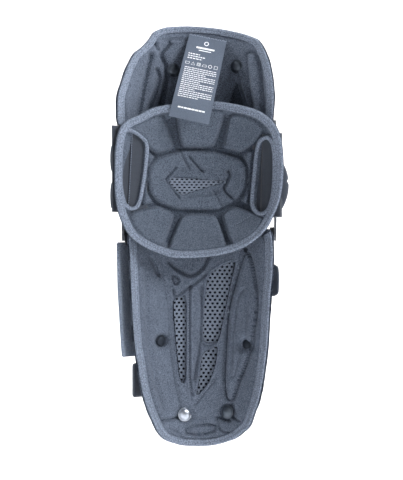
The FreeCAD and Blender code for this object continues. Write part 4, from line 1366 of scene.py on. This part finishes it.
for o, t, st, body, node in ((ks_u, ks_ut, ks_us, "upper_knee_strap", "upper"), (ks_l, ks_lt, ks_ls, "lower_knee_strap", "lower")):
    give(o, body, ["knee_strap_" + node])
    give(t, body, ["knee_hook_" + node])
    for s_ in st:
        give(s_, body)
give(calf, "calf_wing_flap", ["calf_wing"])
give(pipe, "calf_wing_flap")
give(calf_s, "calf_strap_flap", ["calf_strap"])
give(calf_t, "calf_strap_flap", ["calf_hook"])
give(ank_s, "ankle_strap_flap", ["ankle_strap"])
give(ank_t, "ankle_strap_flap", ["ankle_hook"])
for k, o in enumerate(cst):
    give(o, "calf_strap_flap" if k < 2 else "ankle_strap_flap")
for k, o in enumerate(webL):
    give(o, "knee", ["slot_webbing_left"] if k == 0 else [])
for k, o in enumerate(webR):
    give(o, "knee", ["slot_webbing_right"] if k == 0 else [])
give(gus, "knee", ["strap_gusset"])
for o in shin_st:
    give(o, "shin")
for o in thigh_st:
    give(o, "thigh")
for o in knee_st:
    give(o, "knee")

# CAD pieces that stay, with their finishes
FIN = {"thigh_shell": M_SHELL, "shin_shell": M_SHELL, "knee_shell": M_SHELL, "kneeling_plate": M_PLATE, "plate_screws": M_STEEL,
       "pivot_rivets": M_DARKCAP, "knee_core": M_CORE}
for name, mat in FIN.items():
    ob = frame["nodes"][name]
    ob.data.materials.clear()
    ob.data.materials.append(mat)

# ------------------------------------------------------------------ stage
def sweep():
    V, F = [], []
    prof = [(-3.0, -0.345), (0.2, -0.345)]
    for k in range(13):
        a = math.radians(90 * k / 12)
        prof.append((0.2 + 0.5 * math.sin(a), -0.345 + 0.5 * (1 - math.cos(a))))
    prof += [(0.7, 2.5)]
    for y, z in prof:
        V.append((-3.0, y, z))
        V.append((3.0, y, z))
    for i in range(len(prof) - 1):
        F.append((2 * i, 2 * i + 1, 2 * i + 3, 2 * i + 2))
    me = bpy.data.meshes.new("backdrop")
    me.from_pydata(V, [], F)
    me.polygons.foreach_set("use_smooth", [True] * len(me.polygons))
    ob = bpy.data.objects.new("backdrop", me)
    bpy.context.scene.collection.objects.link(ob)
    m = Nodes("backdrop_paper")
    g = m.noise(3.0, 2.0, 0.5)
    c = m.ramp(g, [(0.2, (0.93, 0.93, 0.935)), (0.8, (0.97, 0.97, 0.972))])
    m.link(c, m.bsdf.inputs['Base Color'])
    m.bsdf.inputs['Roughness'].default_value = 0.9
    m.bsdf.inputs['Specular IOR Level'].default_value = 0.1
    me.materials.append(m.mat)
    return ob


sweep()


def area(name, loc, target, size, power, color=(1, 1, 1)):
    d = bpy.data.lights.new(name, 'AREA')
    d.shape = 'RECTANGLE'
    d.size, d.size_y = size
    d.energy = power
    d.color = color
    o = bpy.data.objects.new(name, d)
    bpy.context.scene.collection.objects.link(o)
    o.location = loc
    v = np.array(target, float) - np.array(loc, float)
    v /= np.linalg.norm(v)
    import mathutils
    o.rotation_euler = mathutils.Vector(v).to_track_quat('-Z', 'Y').to_euler()
    return o


area("key", (1.45, -1.15, 1.0), (0, 0, -0.05), (0.7, 0.7), 48)
area("fill", (-0.8, -1.9, 0.1), (0, 0, -0.05), (1.0, 1.4), 4.5)
area("wall_l", (-1.4, 0.35, 1.1), (0, 0.75, 0.0), (1.0, 1.0), 38)
area("wall_r", (1.4, 0.35, 1.1), (0, 0.75, 0.0), (1.0, 1.0), 38)
world = bpy.data.worlds.new("world")
bpy.context.scene.world = world
world.use_nodes = True
bg = world.node_tree.nodes["Background"]
bg.inputs["Color"].default_value = (0.95, 0.97, 1.0, 1)
bg.inputs["Strength"].default_value = 0.25
